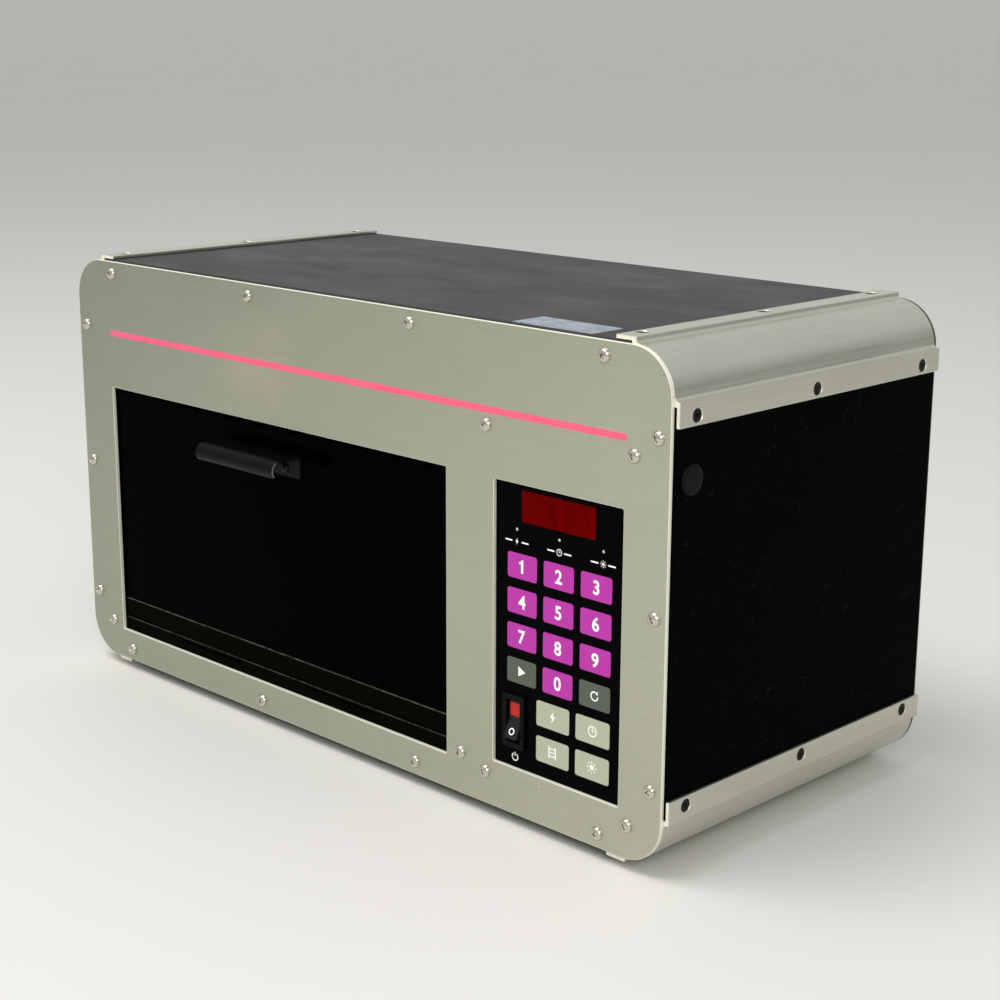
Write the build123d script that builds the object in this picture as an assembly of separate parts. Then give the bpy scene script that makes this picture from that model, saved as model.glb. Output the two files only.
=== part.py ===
from build123d import *
import math
import os

os.makedirs("parts", exist_ok=True)

# Bench-top ultraviolet crosslinker: a case of two end plates, four rounded corner rails and four
# sheet panels, holding a lamp chamber with a drop-down door and, to its right, the control bay.
#
# Sizes are in millimetres. Places on the front are written as (u, d, v):
#   u to the right from the front plate's left edge, d backwards from its front face, and
#   v upwards from its bottom edge. px, py and pz turn them into the part's own X, Y and Z,
#   whose origin is the centre of the whole part's footprint, on the surface it stands on.

# ------------------------------------------------------------------ driving dimensions
# lamps and chamber
lamp_count = 5
lamp_length = 288.3
lamp_diameter = 15.5
lamp_pitch = 34.0
lamp_cap_length = 8.0
lamp_cap_wall = 0.3
lamp_pin_size = 2.0
lamp_pin_length = 6.0
lamp_pin_spacing = 5.0
lamp_gap = 0.3
holder_depth = 12.0
holder_width = 18.0
holder_below_lamp = 9.0
holder_wall_gap = 1.55
holder_slot_width = 2.8
holder_slot_depth = 7.5
holder_slot_rise = 4.0
holder_corner = 4.0
reflector_drop = 21.5          # from the case's top edge down to the reflector
reflector_t = 1.0
reflector_ridge = 7.0          # how far the ridges between lamps hang down
reflector_ridge_width = 12.0
lamp_below_reflector = 16.0
liner_t = 1.0
liner_leg_in = 24.0            # from the left chamber wall to the leg under the floor
reflector_lap = 3.0            # width of the reflector's flat edge inside the walls
reflector_gap = 0.3
chamber_left = 10.6            # inner face of the left chamber wall
chamber_floor = 30.0
chamber_back_gap = 5.0         # from the chamber's back wall to the back plate
bay_width = 117.9              # from the chamber's right wall to the case's right edge

# case
case_height = 235.5
rail_length = 199.0
corner_radius = 22.0
rail_t = 2.0
flange_width = 11.5
flange_t = 2.0
flange_web = 2.5
flange_bevel = 0.5
front_plate_t = 2.0
back_plate_t = 1.5
panel_t = 1.5
panel_proud = 1.0              # outer face of the panels beyond the end plates' outline
panel_tab = 12.0               # height of the tabs bent inwards at the panels' ends
panel_gap = 0.3
panel_bend = 0.8               # bevel at the bends between panels and tabs
foot_drop = 6.0                # the feet reach this far below the end plates
foot_radius = 9.0
foot_taper = 1.0
foot_inset_u = 45.0
foot_inset_d = 32.0
foot_recess = 2.5
foot_head_radius = 3.4
foot_head_gap = 0.5
foot_screw_tip = 2.0           # shank inside the bottom panel

# screws
pan_head_radius = 3.45
pan_head_height = 2.0
pan_head_top = 2.3             # radius of the head's flat top
back_head_radius = 3.2
back_head_height = 1.8
shank_radius = 1.75
shank_length = 6.5
screw_clearance = 0.2
plate_screw_edge = 6.8         # end-plate screws to the plate's edge
top_screw_start = 34.0         # first screw to the case's left edge
top_screw_end = 38.2           # last screw to the case's right edge
top_screw_count = 4
bottom_screw_start = 38.5
bottom_screw_end = 37.6
bottom_screw_count = 4
side_screw_start = 36.6        # first screw above the case's bottom edge
side_screw_end = 38.5          # last screw below its top edge
side_screw_count = 3
rail_screw_start = 13.8        # first screw behind the front face
rail_screw_end = 14.4          # last screw in front of the back plate
rail_screw_count = 3
rail_screw_inset = 29.0        # from the neighbouring edge of the case
rail_head_radius = 2.9
rail_head_height = 1.0
rail_recess_depth = 1.2
rail_shank_radius = 1.5
rail_shank_length = 4.5

# door
door_sill = 17.6               # bottom edge of the door opening
door_opening_width = 277.4
door_opening_height = 145.5
door_gap = 1.2
door_top_gap = 2.6
door_edge_gap = 0.2            # door's bottom edge above the moving leaf's
door_bevel = 0.4
door_t = 3.0
door_set_back = 1.0            # from the back of the front plate to the door's front
door_overlap = 7.0             # door over the chamber's mouth, at its sides and bottom
door_top_overlap = 16.0
seal_t = 0.8
seal_width = 4.0
seal_inset = 1.0
seal_gap = 0.2
door_frame_t = 1.0

# door hinge
knuckle_radius = 2.0
pin_radius = 1.0
pin_clearance = 0.05
leaf_t = 0.8
leaf_rise = 12.5               # moving leaf above the pin's centre
leaf_drop = 12.0               # fixed leaf below the pin's centre
pin_above_sill = 6.9
knuckle_count = 5
knuckle_end_gap = 0.3
knuckle_round_gap = 0.3
leaf_pocket_gap = 0.2
hinge_rail_inset = 3.4         # ends of the hinge rail inside the chamber's walls
hinge_lug_height = 15.0        # the rail's ends, which take its screws
hinge_rail_below_sill = 6.1
hinge_rail_height = 10.2
hinge_screw_inset = 6.2        # hinge rail's screws to its ends
hinge_screw_rise = 9.7         # above its bottom edge
hinge_screw_head = 2.5
hinge_screw_head_t = 1.0
hinge_screw_radius = 1.2
hinge_screw_count = 4
hinge_screw_clearance = 0.1
hinge_screw_skin = 0.3         # leaf left whole in front of the screws' tips

# door handle
handle_from_left = 100.4       # from the door's left edge
handle_length = 64.5
handle_top = 149.0
handle_flat = 15.0             # from the door's face to where the roll starts
handle_roll = 5.2
handle_roll_turn = 135.0
handle_t = 1.5
handle_flange = 12.0
handle_screw_drop = 7.5
handle_screw_inset = 12.0
handle_screw_head = 2.6
handle_screw_head_t = 1.6
handle_screw_radius = 1.4
handle_screw_clearance = 0.1

# door catch and interlock
catch_width = 25.0
catch_height = 7.0
catch_depth = 11.0
catch_inset = 28.9             # centre to the door's left edge
catch_below_door_top = 11.0
catch_gap = 0.3
catch_flange = 3.0
strike_t = 0.5
plunger_radius = 1.5
plunger_clearance = 0.06
plunger_length = 8.0
plunger_overtravel = 1.7       # room behind the plunger when the door presses it in
plunger_gap = 0.3
interlock_inset = 26.1         # centre to the door's right edge
interlock_width = 20.0
interlock_height = 7.0
interlock_depth = 10.0

# keypad
keypad_sill = 23.4
keypad_width = 79.8
keypad_height = 139.4
keypad_overlap = 3.0           # overlay beyond the opening
overlay_t = 0.7
keypad_plate_t = 1.5
keypad_plate_left_gap = 1.2    # from the chamber's right wall
keypad_plate_right_gap = 14.7  # to the case's right edge
keypad_plate_height = 181.0
keypad_plate_below = 12.1      # below the opening
keypad_screw_inset = 5.3
keypad_screw_rise = 5.0
spacer_radius = 3.6
key_width = 18.7
key_height = 12.2
key_pitch_u = 23.0
key_pitch_v = 17.1
key_left = 7.7
key_top = 105.9
key_rows = 4
key_columns = 3
key_corner = 0.8
key_emboss = 0.2
mode_key_width = 20.7
mode_key_height = 12.5
mode_key_pitch_u = 24.8
mode_key_pitch_v = 17.5
mode_key_left = 27.0
mode_key_top = 37.5
window_left = 16.2
window_bottom = 121.2
window_width = 45.8
window_height = 15.1
window_step = 2.0
window_set_back = 0.15
window_fit = 0.15
led_left = 13.4
led_up = 117.2
led_pitch = 26.7
led_count = 3
led_radius = 1.5
led_fit = 0.2
led_gap = 0.1

# power switch
switch_u = 13.05               # centre, from the keypad opening's left edge
switch_v = 23.25               # centre, above the keypad opening's bottom edge
bezel_width = 14.1
bezel_height = 26.9
bezel_proud = 1.8
bezel_corner = 1.2
switch_body_width = 12.4
switch_body_height = 22.6
switch_body_depth = 17.0
switch_fit = 0.2
rocker_width = 8.0
rocker_length = 18.8
rocker_side_gap = 0.3
rocker_end_gap = 1.0
rocker_pivot_behind = 2.5      # pivot behind the overlay's face
rocker_front = 2.6             # pivot to the middle of the rocker's face
rocker_tip = 4.6               # pivot to the face at the rocker's ends
rocker_back = 3.5
rocker_back_half = 3.1
rocker_angle = 12.0
rocker_well = 8.0              # depth of the well behind the overlay's face
trunnion_radius = 1.2
trunnion_length = 0.9
trunnion_clearance = 0.05
trunnion_end_gap = 0.1
flag_size = 6.6
flag_t = 0.3
flag_start = 1.6
terminal_width = 4.8
terminal_t = 0.8
terminal_length = 7.0
terminal_count = 3
terminal_gap = 2.4

# boards and display
board_set_back = 12.0          # board's front face behind the front plate's front face
board_t = 1.6
board_left_gap = 6.9           # from the chamber's right wall
board_right_gap = 22.0         # to the case's right edge
board_height = 104.0
board_above_sill = 42.6        # board's bottom edge above the keypad opening's
standoff_radius = 3.0
standoff_inset = 5.0
board_head_height = 1.5
display_width = 42.0
display_height = 12.5
display_gap = 0.2
tail_width = 16.0
tail_t = 0.3
tail_depth = 5.0
tail_lap = 6.0                 # tail above and below the board's bottom edge
tail_slot_gap = 0.6
relay_width = 16.0
relay_height = 28.0
relay_depth = 16.0
relay_count = 2
relay_pitch = 22.0
relay_up = 55.0
terminal_block_width = 50.0
terminal_block_height = 10.0
terminal_block_depth = 14.0
terminal_block_up = 14.0
chip_width = 34.0
chip_height = 15.0
chip_depth = 4.0
chip_up = 32.0

# ballasts, starters and transformer
ballast_length = 100.0
ballast_height = 34.0
ballast_depth = 28.0
ballast_pitch = 38.0
ballast_foot = 110.0
ballast_foot_t = 1.5
ballast_bottom = 14.0
ballast_back_gap = 18.0
ballast_plate_t = 1.5
ballast_plate_margin = 4.0
starter_radius = 10.5
starter_length = 34.0
starter_base = 24.0
starter_base_t = 6.0
starter_set = 22.0             # starter's centre in front of the ballasts' feet
core_width = 48.0
core_depth = 18.0
core_height = 40.0
core_limb = 6.0
coil_depth = 38.0
coil_height = 28.0
transformer_gap = 3.4          # core to the ballasts
transformer_back = 75.0        # centre to the back plate
transformer_foot = 62.0
transformer_foot_t = 1.5

# sensor
sensor_radius = 8.0
sensor_t = 2.0
sensor_body_radius = 5.0
sensor_body_length = 14.0
sensor_nut = 7.5
sensor_nut_t = 3.0
sensor_d = 19.0
sensor_v = 90.0
sensor_clearance = 0.1

# rear fittings and side plug
inlet_right = 52.0             # centre to the case's right edge, seen from the front
inlet_up = 40.0
inlet_width = 27.0
inlet_height = 19.6
inlet_depth = 21.0
inlet_wall = 1.6
inlet_flange_width = 50.0
inlet_flange_height = 23.0
inlet_flange_t = 2.5
inlet_fit = 0.3
inlet_socket_depth = 16.0
inlet_pin_width = 2.0
inlet_pin_height = 4.0
inlet_pin_pitch = 7.0
inlet_pin_rise = 2.0           # middle pin above the centre, the outer two below it
inlet_pin_length = 13.0
inlet_screw_pitch = 40.0
inlet_screw_tip = 3.0
inlet_tab_length = 7.0
vent_count = 6
vent_length = 42.0
vent_width = 4.0
vent_bevel = 1.2
vent_pitch = 11.0
vent_up = 120.0
plug_radius = 7.0
plug_t = 1.2
plug_top_radius = 6.2
plug_shank_radius = 6.3
plug_shank_length = 5.0
plug_fit = 0.1
plug_d = 13.5
plug_drop = 57.2               # centre below the case's top edge

# ------------------------------------------------------------------ derived sizes
chamber_width = lamp_length + 2 * (lamp_gap + holder_depth + holder_wall_gap)
chamber_right = chamber_left + chamber_width
case_width = chamber_right + bay_width
rail_back = front_plate_t + rail_length                 # d of the back plate's front face
chamber_mid = (chamber_left + chamber_right) / 2
flange_proud = panel_proud + flange_t
plug_v = case_height - plug_drop
reflector_v = case_height - reflector_drop
lamp_v = reflector_v - lamp_below_reflector

door_face = front_plate_t + door_set_back               # d of the door's front face
door_back = door_face + door_t
door_frame_front = door_back + seal_gap + seal_t
door_frame_back = door_frame_front + door_frame_t
opening_left = chamber_mid - door_opening_width / 2
opening_top = door_sill + door_opening_height
door_left = opening_left + door_gap
door_width = door_opening_width - 2 * door_gap
pin_v = door_sill + pin_above_sill
pin_d = door_face - leaf_t + knuckle_radius
door_bottom = pin_v + knuckle_radius + knuckle_round_gap + door_edge_gap
door_top = opening_top - door_top_gap
mouth_left = door_left + door_overlap
mouth_right = door_left + door_width - door_overlap
mouth_bottom = door_bottom + door_overlap
mouth_top = door_top - door_top_overlap
chamber_back = rail_back - chamber_back_gap             # d of the chamber back wall's front face
handle_reach = handle_flat + handle_roll - door_face
handle_left = door_left + handle_from_left
catch_u = door_left + catch_inset
interlock_u = door_left + door_width - interlock_inset
catch_v = door_top - catch_below_door_top
plunger_v = catch_v
hinge_rail_bottom = door_sill - hinge_rail_below_sill
hinge_rail_left = chamber_left + hinge_rail_inset
hinge_rail_right = chamber_right - hinge_rail_inset

keypad_plate_u0 = chamber_right + liner_t + keypad_plate_left_gap
keypad_plate_u1 = case_width - keypad_plate_right_gap
keypad_left_edge = (keypad_plate_u0 + keypad_plate_u1 - keypad_width) / 2
overlay_face = front_plate_t
overlay_back = overlay_face + overlay_t
keypad_plate_back = overlay_back + keypad_plate_t
rear_reach = max(inlet_flange_t, back_head_height)

whole_depth = handle_reach + rail_back + back_plate_t + rear_reach
front_y = handle_reach - whole_depth / 2                # Y of the front plate's front face


def px(u):
    return u - case_width / 2


def py(d):
    return front_y + d


def pz(v):
    return foot_drop + v


# ------------------------------------------------------------------ small helpers
def block(u0, u1, d0, d1, v0, v1):
    """Rectangular solid between two corners given as (u, d, v)."""
    size = (abs(u1 - u0), abs(d1 - d0), abs(v1 - v0))
    middle = (px((u0 + u1) / 2), py((d0 + d1) / 2), pz((v0 + v1) / 2))
    return Pos(*middle) * Box(*size)


def front_sheet(sketch, d, thickness):
    """Sketch drawn in (X, Z), extruded backwards from depth d."""
    plane = Plane(origin=(0, py(d), 0), x_dir=(1, 0, 0), z_dir=(0, -1, 0))
    return extrude(plane * sketch, amount=thickness, dir=(0, 1, 0))


def side_prism(sketch, u, length):
    """Sketch drawn in (Y, Z), extruded to the right from u."""
    return extrude(Pos(px(u), 0, 0) * (Plane.YZ * sketch), amount=length, dir=(1, 0, 0))


def rod(u, d, v, along, radius, length, sides=0):
    """Round rod, or a prism of so many sides, that starts at (u, d, v) and runs along an axis."""
    plane = Plane(origin=(px(u), py(d), pz(v)), z_dir=along)
    section = Circle(radius) if sides == 0 else RegularPolygon(radius, sides)
    return extrude(plane * section, amount=length, dir=along)


def tapered(u, d, v, along, radius, far_radius, length, sides):
    """Many-sided prism that narrows or widens from one radius to another along an axis."""
    plane = Plane(origin=(px(u), py(d), pz(v)), z_dir=along)
    turns = [2 * math.pi * i / sides for i in range(sides)]

    def ring(r, rise):
        return [plane.from_local_coords((r * math.cos(turn), r * math.sin(turn), rise)) for turn in turns]

    near = ring(radius, 0)
    far = ring(far_radius, length)
    faces = [Face(Wire.make_polygon(near)), Face(Wire.make_polygon(far))]
    for i in range(sides):
        j = (i + 1) % sides
        faces.append(Face(Wire.make_polygon([near[i], near[j], far[j], far[i]])))
    return Solid(Shell(faces))


def bore(u, d, v, along, radius, length):
    """Many-sided bore whose flats clear a shaft of this radius at any turn."""
    return rod(u, d, v, along, radius / math.cos(math.pi / pin_side_count), length, pin_side_count)


def mirror_u(part):
    """Mirror image about the case's middle, left to right."""
    return mirror(part, about=Plane.YZ)


def mirror_v(part):
    """Mirror image about the case's middle, top to bottom."""
    return mirror(part, about=Plane(origin=(0, 0, pz(case_height / 2)), z_dir=(0, 0, 1)))


def cut(part, tools):
    """The part less every tool."""
    for tool in tools:
        part = part - tool
    return part


def emit(name, *pieces):
    """Write one node, a group of separate solids, as a STEP file."""
    solids = []
    for piece in pieces:
        solids.extend(piece.solids())
    group = Compound(children=solids, label=name)
    export_step(group, os.path.join("parts", name + ".step"))


RIGHT = (1, 0, 0)
LEFT = (-1, 0, 0)
BACK = (0, 1, 0)
FRONT = (0, -1, 0)
UP = (0, 0, 1)
DOWN = (0, 0, -1)
shank_side_count = 4           # shanks and their holes are plain prisms
head_side_count = 8            # screw heads at the back, below and inside
pan_side_count = 12            # screw heads on the front, and small round pieces inside
pin_side_count = 16            # pins, and the bores that they turn or slide in
round_side_count = 24          # lamps, feet, sensor and side plug
hex_side_count = 6
past = 1.0                     # how far a cutting tool reaches past a face

# ------------------------------------------------------------------ screw places
def spread(first, last, count):
    """Evenly spaced places, with the first and the last as given."""
    return [first + (last - first) * i / (count - 1) for i in range(count)]


top_places = spread(top_screw_start, case_width - top_screw_end, top_screw_count)
bottom_places = spread(bottom_screw_start, case_width - bottom_screw_end, bottom_screw_count)
side_places = spread(side_screw_start, case_height - side_screw_end, side_screw_count)
top_screws = [(u, case_height - plate_screw_edge) for u in top_places]
bottom_screws = [(u, plate_screw_edge) for u in bottom_places]
left_screws = [(plate_screw_edge, v) for v in side_places]
right_screws = [(case_width - plate_screw_edge, v) for v in side_places]
panel_screws = top_screws + bottom_screws + left_screws + right_screws
hinge_rail_screws = [
    (u, hinge_rail_bottom + hinge_screw_rise)
    for u in (hinge_rail_left + hinge_screw_inset, hinge_rail_right - hinge_screw_inset)
]

keypad_plate_v0 = keypad_sill - keypad_plate_below
keypad_plate_v1 = keypad_plate_v0 + keypad_plate_height
keypad_screws = [
    (u, v)
    for u in (keypad_plate_u0 + keypad_screw_inset, keypad_plate_u1 - keypad_screw_inset)
    for v in (keypad_plate_v0 + keypad_screw_rise, keypad_plate_v1 - keypad_screw_rise)
]
rail_screw_depths = spread(rail_screw_start, rail_back - rail_screw_end, rail_screw_count)
foot_places = [
    (u, d)
    for u in (foot_inset_u, case_width - foot_inset_u)
    for d in (foot_inset_d, rail_back - foot_inset_d)
]
foot_height = foot_drop - panel_proud


def shank_hole(u, d, v, along, length, radius=shank_radius):
    """Clearance hole for a screw's shank."""
    return rod(u, d, v, along, radius + screw_clearance, length, shank_side_count)


# ------------------------------------------------------------------ end plates
def end_plate(d, thickness):
    """Plate with the case's rounded outline."""
    outline = Pos(0, pz(case_height / 2)) * RectangleRounded(case_width, case_height, corner_radius)
    return front_sheet(outline, d, thickness)


def make_front_plate():
    plate = end_plate(0, front_plate_t)
    right = opening_left + door_opening_width
    holes = [block(opening_left, right, -past, front_plate_t + past, door_sill, opening_top)]
    keypad_right_edge = keypad_left_edge + keypad_width
    keypad_top = keypad_sill + keypad_height
    holes.append(block(keypad_left_edge, keypad_right_edge, -past, front_plate_t + past,
                       keypad_sill, keypad_top))
    for u, v in panel_screws + hinge_rail_screws + keypad_screws:
        holes.append(shank_hole(u, -past, v, BACK, front_plate_t + 2 * past))
    return cut(plate, holes)


def make_back_plate():
    plate = end_plate(rail_back, back_plate_t)
    holes = []
    for u, v in panel_screws:
        holes.append(shank_hole(u, rail_back - past, v, BACK, back_plate_t + 2 * past))
    inlet_u = case_width - inlet_right
    half_w = inlet_width / 2 + inlet_fit
    half_h = inlet_height / 2 + inlet_fit
    back = rail_back + back_plate_t
    holes.append(block(inlet_u - half_w, inlet_u + half_w, rail_back - past, back + past,
                       inlet_up - half_h, inlet_up + half_h))
    for side in (-1, 1):
        screw_u = inlet_u + side * inlet_screw_pitch / 2
        holes.append(shank_hole(screw_u, rail_back - past, inlet_up, BACK, back_plate_t + 2 * past,
                                rail_shank_radius))
    for i in range(vent_count):
        slot = Rectangle(vent_length, vent_width)
        slot = Pos(px(inlet_u), pz(vent_up + i * vent_pitch)) * chamfer(slot.vertices(), vent_bevel)
        holes.append(front_sheet(slot, rail_back - past, back_plate_t + 2 * past))
    return cut(plate, holes)


# ------------------------------------------------------------------ corner rails
def make_rail():
    """Top right rail: a quarter ring whose two flanges lap over the panels."""
    ring = Circle(corner_radius) - Circle(corner_radius - rail_t)
    ring &= Pos(corner_radius / 2, corner_radius / 2) * Rectangle(corner_radius, corner_radius)
    web_height = rail_t + flange_proud - flange_bevel
    web = Rectangle(flange_web, web_height)
    web_middle = corner_radius - rail_t + web_height / 2
    strip = Rectangle(flange_width, flange_t)
    strip = chamfer(strip.vertices(), flange_bevel)
    strip_middle = corner_radius + panel_proud + flange_t / 2
    profile = ring + Pos(-flange_web / 2, web_middle) * web
    profile += Pos(-flange_width / 2, strip_middle) * strip
    profile += Pos(web_middle, -flange_web / 2) * Rot(0, 0, 90) * web
    profile += Pos(strip_middle, -flange_width / 2) * Rot(0, 0, 90) * strip
    corner = Pos(px(case_width - corner_radius), pz(case_height - corner_radius))
    rail = front_sheet(corner * profile, front_plate_t, rail_length)
    side = case_width + flange_proud
    top = case_height + flange_proud
    holes = []
    for d in rail_screw_depths:
        places = [(side, case_height - rail_screw_inset, LEFT), (case_width - rail_screw_inset, top, DOWN)]
        for u, v, inwards in places:
            holes.append(rod(u, d, v, inwards, rail_head_radius + screw_clearance,
                             rail_recess_depth, head_side_count))
            holes.append(shank_hole(u, d, v, inwards, flange_t + past, rail_shank_radius))
    return cut(rail, holes)


def make_rail_screws():
    """Countersunk screws of the top right rail, their heads just below the flanges' faces."""
    sunk = rail_recess_depth - rail_head_height
    side = case_width + flange_proud - sunk
    top = case_height + flange_proud - sunk
    screws = []
    for d in rail_screw_depths:
        places = [(side, case_height - rail_screw_inset, LEFT), (case_width - rail_screw_inset, top, DOWN)]
        for u, v, inwards in places:
            head = rod(u, d, v, inwards, rail_head_radius, rail_head_height, head_side_count)
            shank = rod(u, d, v, inwards, rail_shank_radius, rail_shank_length, shank_side_count)
            screws.append(head + shank)
    return screws


# ------------------------------------------------------------------ panels
def make_top_panel():
    """Sheet under the two top flanges, with tabs bent down behind the end plates."""
    low_u = corner_radius + flange_web + panel_gap
    high_u = case_width - low_u
    outer = case_height + panel_proud
    panel = block(low_u, high_u, front_plate_t, rail_back, outer - panel_t, outer)
    panel += block(low_u, high_u, front_plate_t, front_plate_t + panel_t, outer - panel_tab, outer)
    panel += block(low_u, high_u, rail_back - panel_t, rail_back, outer - panel_tab, outer)
    bends = panel.edges().filter_by(Axis.X).group_by(Axis.Z)[-1]
    panel = chamfer(bends, panel_bend)
    holes = []
    for u, v in top_screws:
        holes.append(shank_hole(u, front_plate_t - past, v, BACK, panel_t + 2 * past))
        holes.append(shank_hole(u, rail_back + past, v, FRONT, panel_t + 2 * past))
    for d in rail_screw_depths:
        for u in (rail_screw_inset, case_width - rail_screw_inset):
            holes.append(shank_hole(u, d, outer + past, DOWN, panel_t + 2 * past, rail_shank_radius))
    return cut(panel, holes)


def make_bottom_panel():
    """Sheet over the two bottom flanges, with tabs bent up and the holes for the feet."""
    low_u = corner_radius + flange_web + panel_gap
    high_u = case_width - low_u
    outer = -panel_proud
    panel = block(low_u, high_u, front_plate_t, rail_back, outer, outer + panel_t)
    panel += block(low_u, high_u, front_plate_t, front_plate_t + panel_t, outer, outer + panel_tab)
    panel += block(low_u, high_u, rail_back - panel_t, rail_back, outer, outer + panel_tab)
    bends = panel.edges().filter_by(Axis.X).group_by(Axis.Z)[0]
    panel = chamfer(bends, panel_bend)
    holes = []
    for u, v in bottom_screws:
        holes.append(shank_hole(u, front_plate_t - past, v, BACK, panel_t + 2 * past))
        holes.append(shank_hole(u, rail_back + past, v, FRONT, panel_t + 2 * past))
    for d in rail_screw_depths:
        for u in (rail_screw_inset, case_width - rail_screw_inset):
            holes.append(shank_hole(u, d, outer - past, UP, panel_t + 2 * past, rail_shank_radius))
    for u, d in foot_places:
        holes.append(shank_hole(u, d, outer - past, UP, panel_t + 2 * past, rail_shank_radius))
    return cut(panel, holes)


def make_right_panel(with_plug_hole):
    """Side sheet between the right flanges, with tabs bent inwards behind the end plates."""
    low_v = corner_radius + flange_web + panel_gap
    high_v = case_height - low_v
    outer = case_width + panel_proud
    panel = block(outer - panel_t, outer, front_plate_t, rail_back, low_v, high_v)
    panel += block(outer - panel_tab, outer, front_plate_t, front_plate_t + panel_t, low_v, high_v)
    panel += block(outer - panel_tab, outer, rail_back - panel_t, rail_back, low_v, high_v)
    bends = panel.edges().filter_by(Axis.Z).group_by(Axis.X)[-1]
    panel = chamfer(bends, panel_bend)
    holes = []
    for u, v in right_screws:
        holes.append(shank_hole(u, front_plate_t - past, v, BACK, panel_t + 2 * past))
        holes.append(shank_hole(u, rail_back + past, v, FRONT, panel_t + 2 * past))
    for d in rail_screw_depths:
        for v in (rail_screw_inset, case_height - rail_screw_inset):
            holes.append(shank_hole(outer + past, d, v, LEFT, panel_t + 2 * past, rail_shank_radius))
    if with_plug_hole:
        holes.append(rod(outer + past, plug_d, plug_v, LEFT, plug_shank_radius + plug_fit, panel_t + 2 * past,
                         pan_side_count))
    return cut(panel, holes)


def make_hole_plug():
    """Push-in plug with a flat head, closing the hole in the right panel."""
    outer = case_width + panel_proud
    head = tapered(outer, plug_d, plug_v, RIGHT, plug_radius, plug_top_radius, plug_t, round_side_count)
    return head + rod(outer, plug_d, plug_v, LEFT, plug_shank_radius, plug_shank_length, pan_side_count)


# ------------------------------------------------------------------ plate screws
def make_front_screws():
    """Pan heads on the front plate's face, with shanks through plate and tab."""
    screws = []
    for u, v in panel_screws + hinge_rail_screws + keypad_screws:
        head = tapered(u, 0, v, FRONT, pan_head_radius, pan_head_top, pan_head_height, pan_side_count)
        screws.append(head + rod(u, 0, v, BACK, shank_radius, shank_length, shank_side_count))
    return screws


def make_back_screws():
    face = rail_back + back_plate_t
    screws = []
    for u, v in panel_screws:
        head = rod(u, face, v, BACK, back_head_radius, back_head_height, head_side_count)
        screws.append(head + rod(u, face, v, FRONT, shank_radius, shank_length, shank_side_count))
    return screws


# ------------------------------------------------------------------ feet
def make_feet():
    feet = []
    for u, d in foot_places:
        foot = tapered(u, d, -panel_proud, DOWN, foot_radius, foot_radius - foot_taper, foot_height,
                       round_side_count)
        recess = rod(u, d, -foot_drop, UP, foot_head_radius + foot_head_gap, foot_recess, head_side_count)
        hole = shank_hole(u, d, -foot_drop, UP, foot_height + past, rail_shank_radius)
        feet.append(foot - recess - hole)
    return feet


def make_foot_screws():
    screws = []
    seat = foot_recess - foot_drop
    length = foot_height - foot_recess + panel_t + foot_screw_tip
    for u, d in foot_places:
        head = rod(u, d, seat, DOWN, foot_head_radius, rail_head_height, head_side_count)
        screws.append(head + rod(u, d, seat, UP, rail_shank_radius, length, shank_side_count))
    return screws


# ------------------------------------------------------------------ lamp chamber
lamp_left = chamber_mid - lamp_length / 2
lamp_right = chamber_mid + lamp_length / 2
chamber_depth_mid = (door_frame_back + chamber_back) / 2
lamp_depths = [chamber_depth_mid + (i - (lamp_count - 1) / 2) * lamp_pitch for i in range(lamp_count)]
liner_outer_left = chamber_left - liner_t
liner_outer_right = chamber_right + liner_t
bottom_inner = panel_t - panel_proud      # v of the bottom panel's upper face


def make_chamber_liner():
    """Bright chamber: floor, back and side walls, on the right wall's foot and a leg on the left."""
    front = door_frame_back
    back = chamber_back + liner_t
    leg = chamber_left + liner_leg_in
    liner = block(liner_outer_left, chamber_left, front, back, chamber_floor - liner_t, reflector_v)
    liner += block(leg, leg + liner_t, front, back, bottom_inner, chamber_floor - liner_t)
    liner += block(chamber_right, liner_outer_right, front, back, bottom_inner, reflector_v)
    liner += block(chamber_left, chamber_right, front, back, chamber_floor - liner_t, chamber_floor)
    liner += block(chamber_left, chamber_right, chamber_back, back, chamber_floor, reflector_v)
    sensor = rod(chamber_right - past, sensor_d, sensor_v, RIGHT, sensor_body_radius + sensor_clearance,
                 liner_t + 2 * past, pan_side_count)
    return liner - sensor


def make_reflector():
    """Fluted lamp reflector, the chamber's roof: a ridge hangs down between each pair of lamps."""
    front = py(door_frame_front)
    back = py(chamber_back + liner_t)
    low = pz(reflector_v)
    lower = [(front, low)]
    for near, far in zip(lamp_depths[:-1], lamp_depths[1:]):
        middle = py((near + far) / 2)
        lower.append((middle - reflector_ridge_width / 2, low))
        lower.append((middle, low - reflector_ridge))
        lower.append((middle + reflector_ridge_width / 2, low))
    lower.append((back, low))
    upper = [(y, z + reflector_t) for y, z in reversed(lower)]
    profile = make_face(Polyline(*lower, *upper, close=True).edges())
    start = chamber_left + reflector_gap
    reflector = side_prism(profile, start, chamber_width - 2 * reflector_gap)
    left_lap = (liner_outer_left, chamber_left + reflector_lap)
    right_lap = (chamber_right - reflector_lap, liner_outer_right)
    for u0, u1 in (left_lap, right_lap):
        reflector += block(u0, u1, door_frame_front, chamber_back + liner_t, reflector_v,
                           reflector_v + reflector_t)
    return reflector


def make_lamps():
    """Glass tubes between their end caps."""
    length = lamp_length - 2 * lamp_cap_length
    start = lamp_left + lamp_cap_length
    return [rod(start, d, lamp_v, RIGHT, lamp_diameter / 2, length, round_side_count) for d in lamp_depths]


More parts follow.
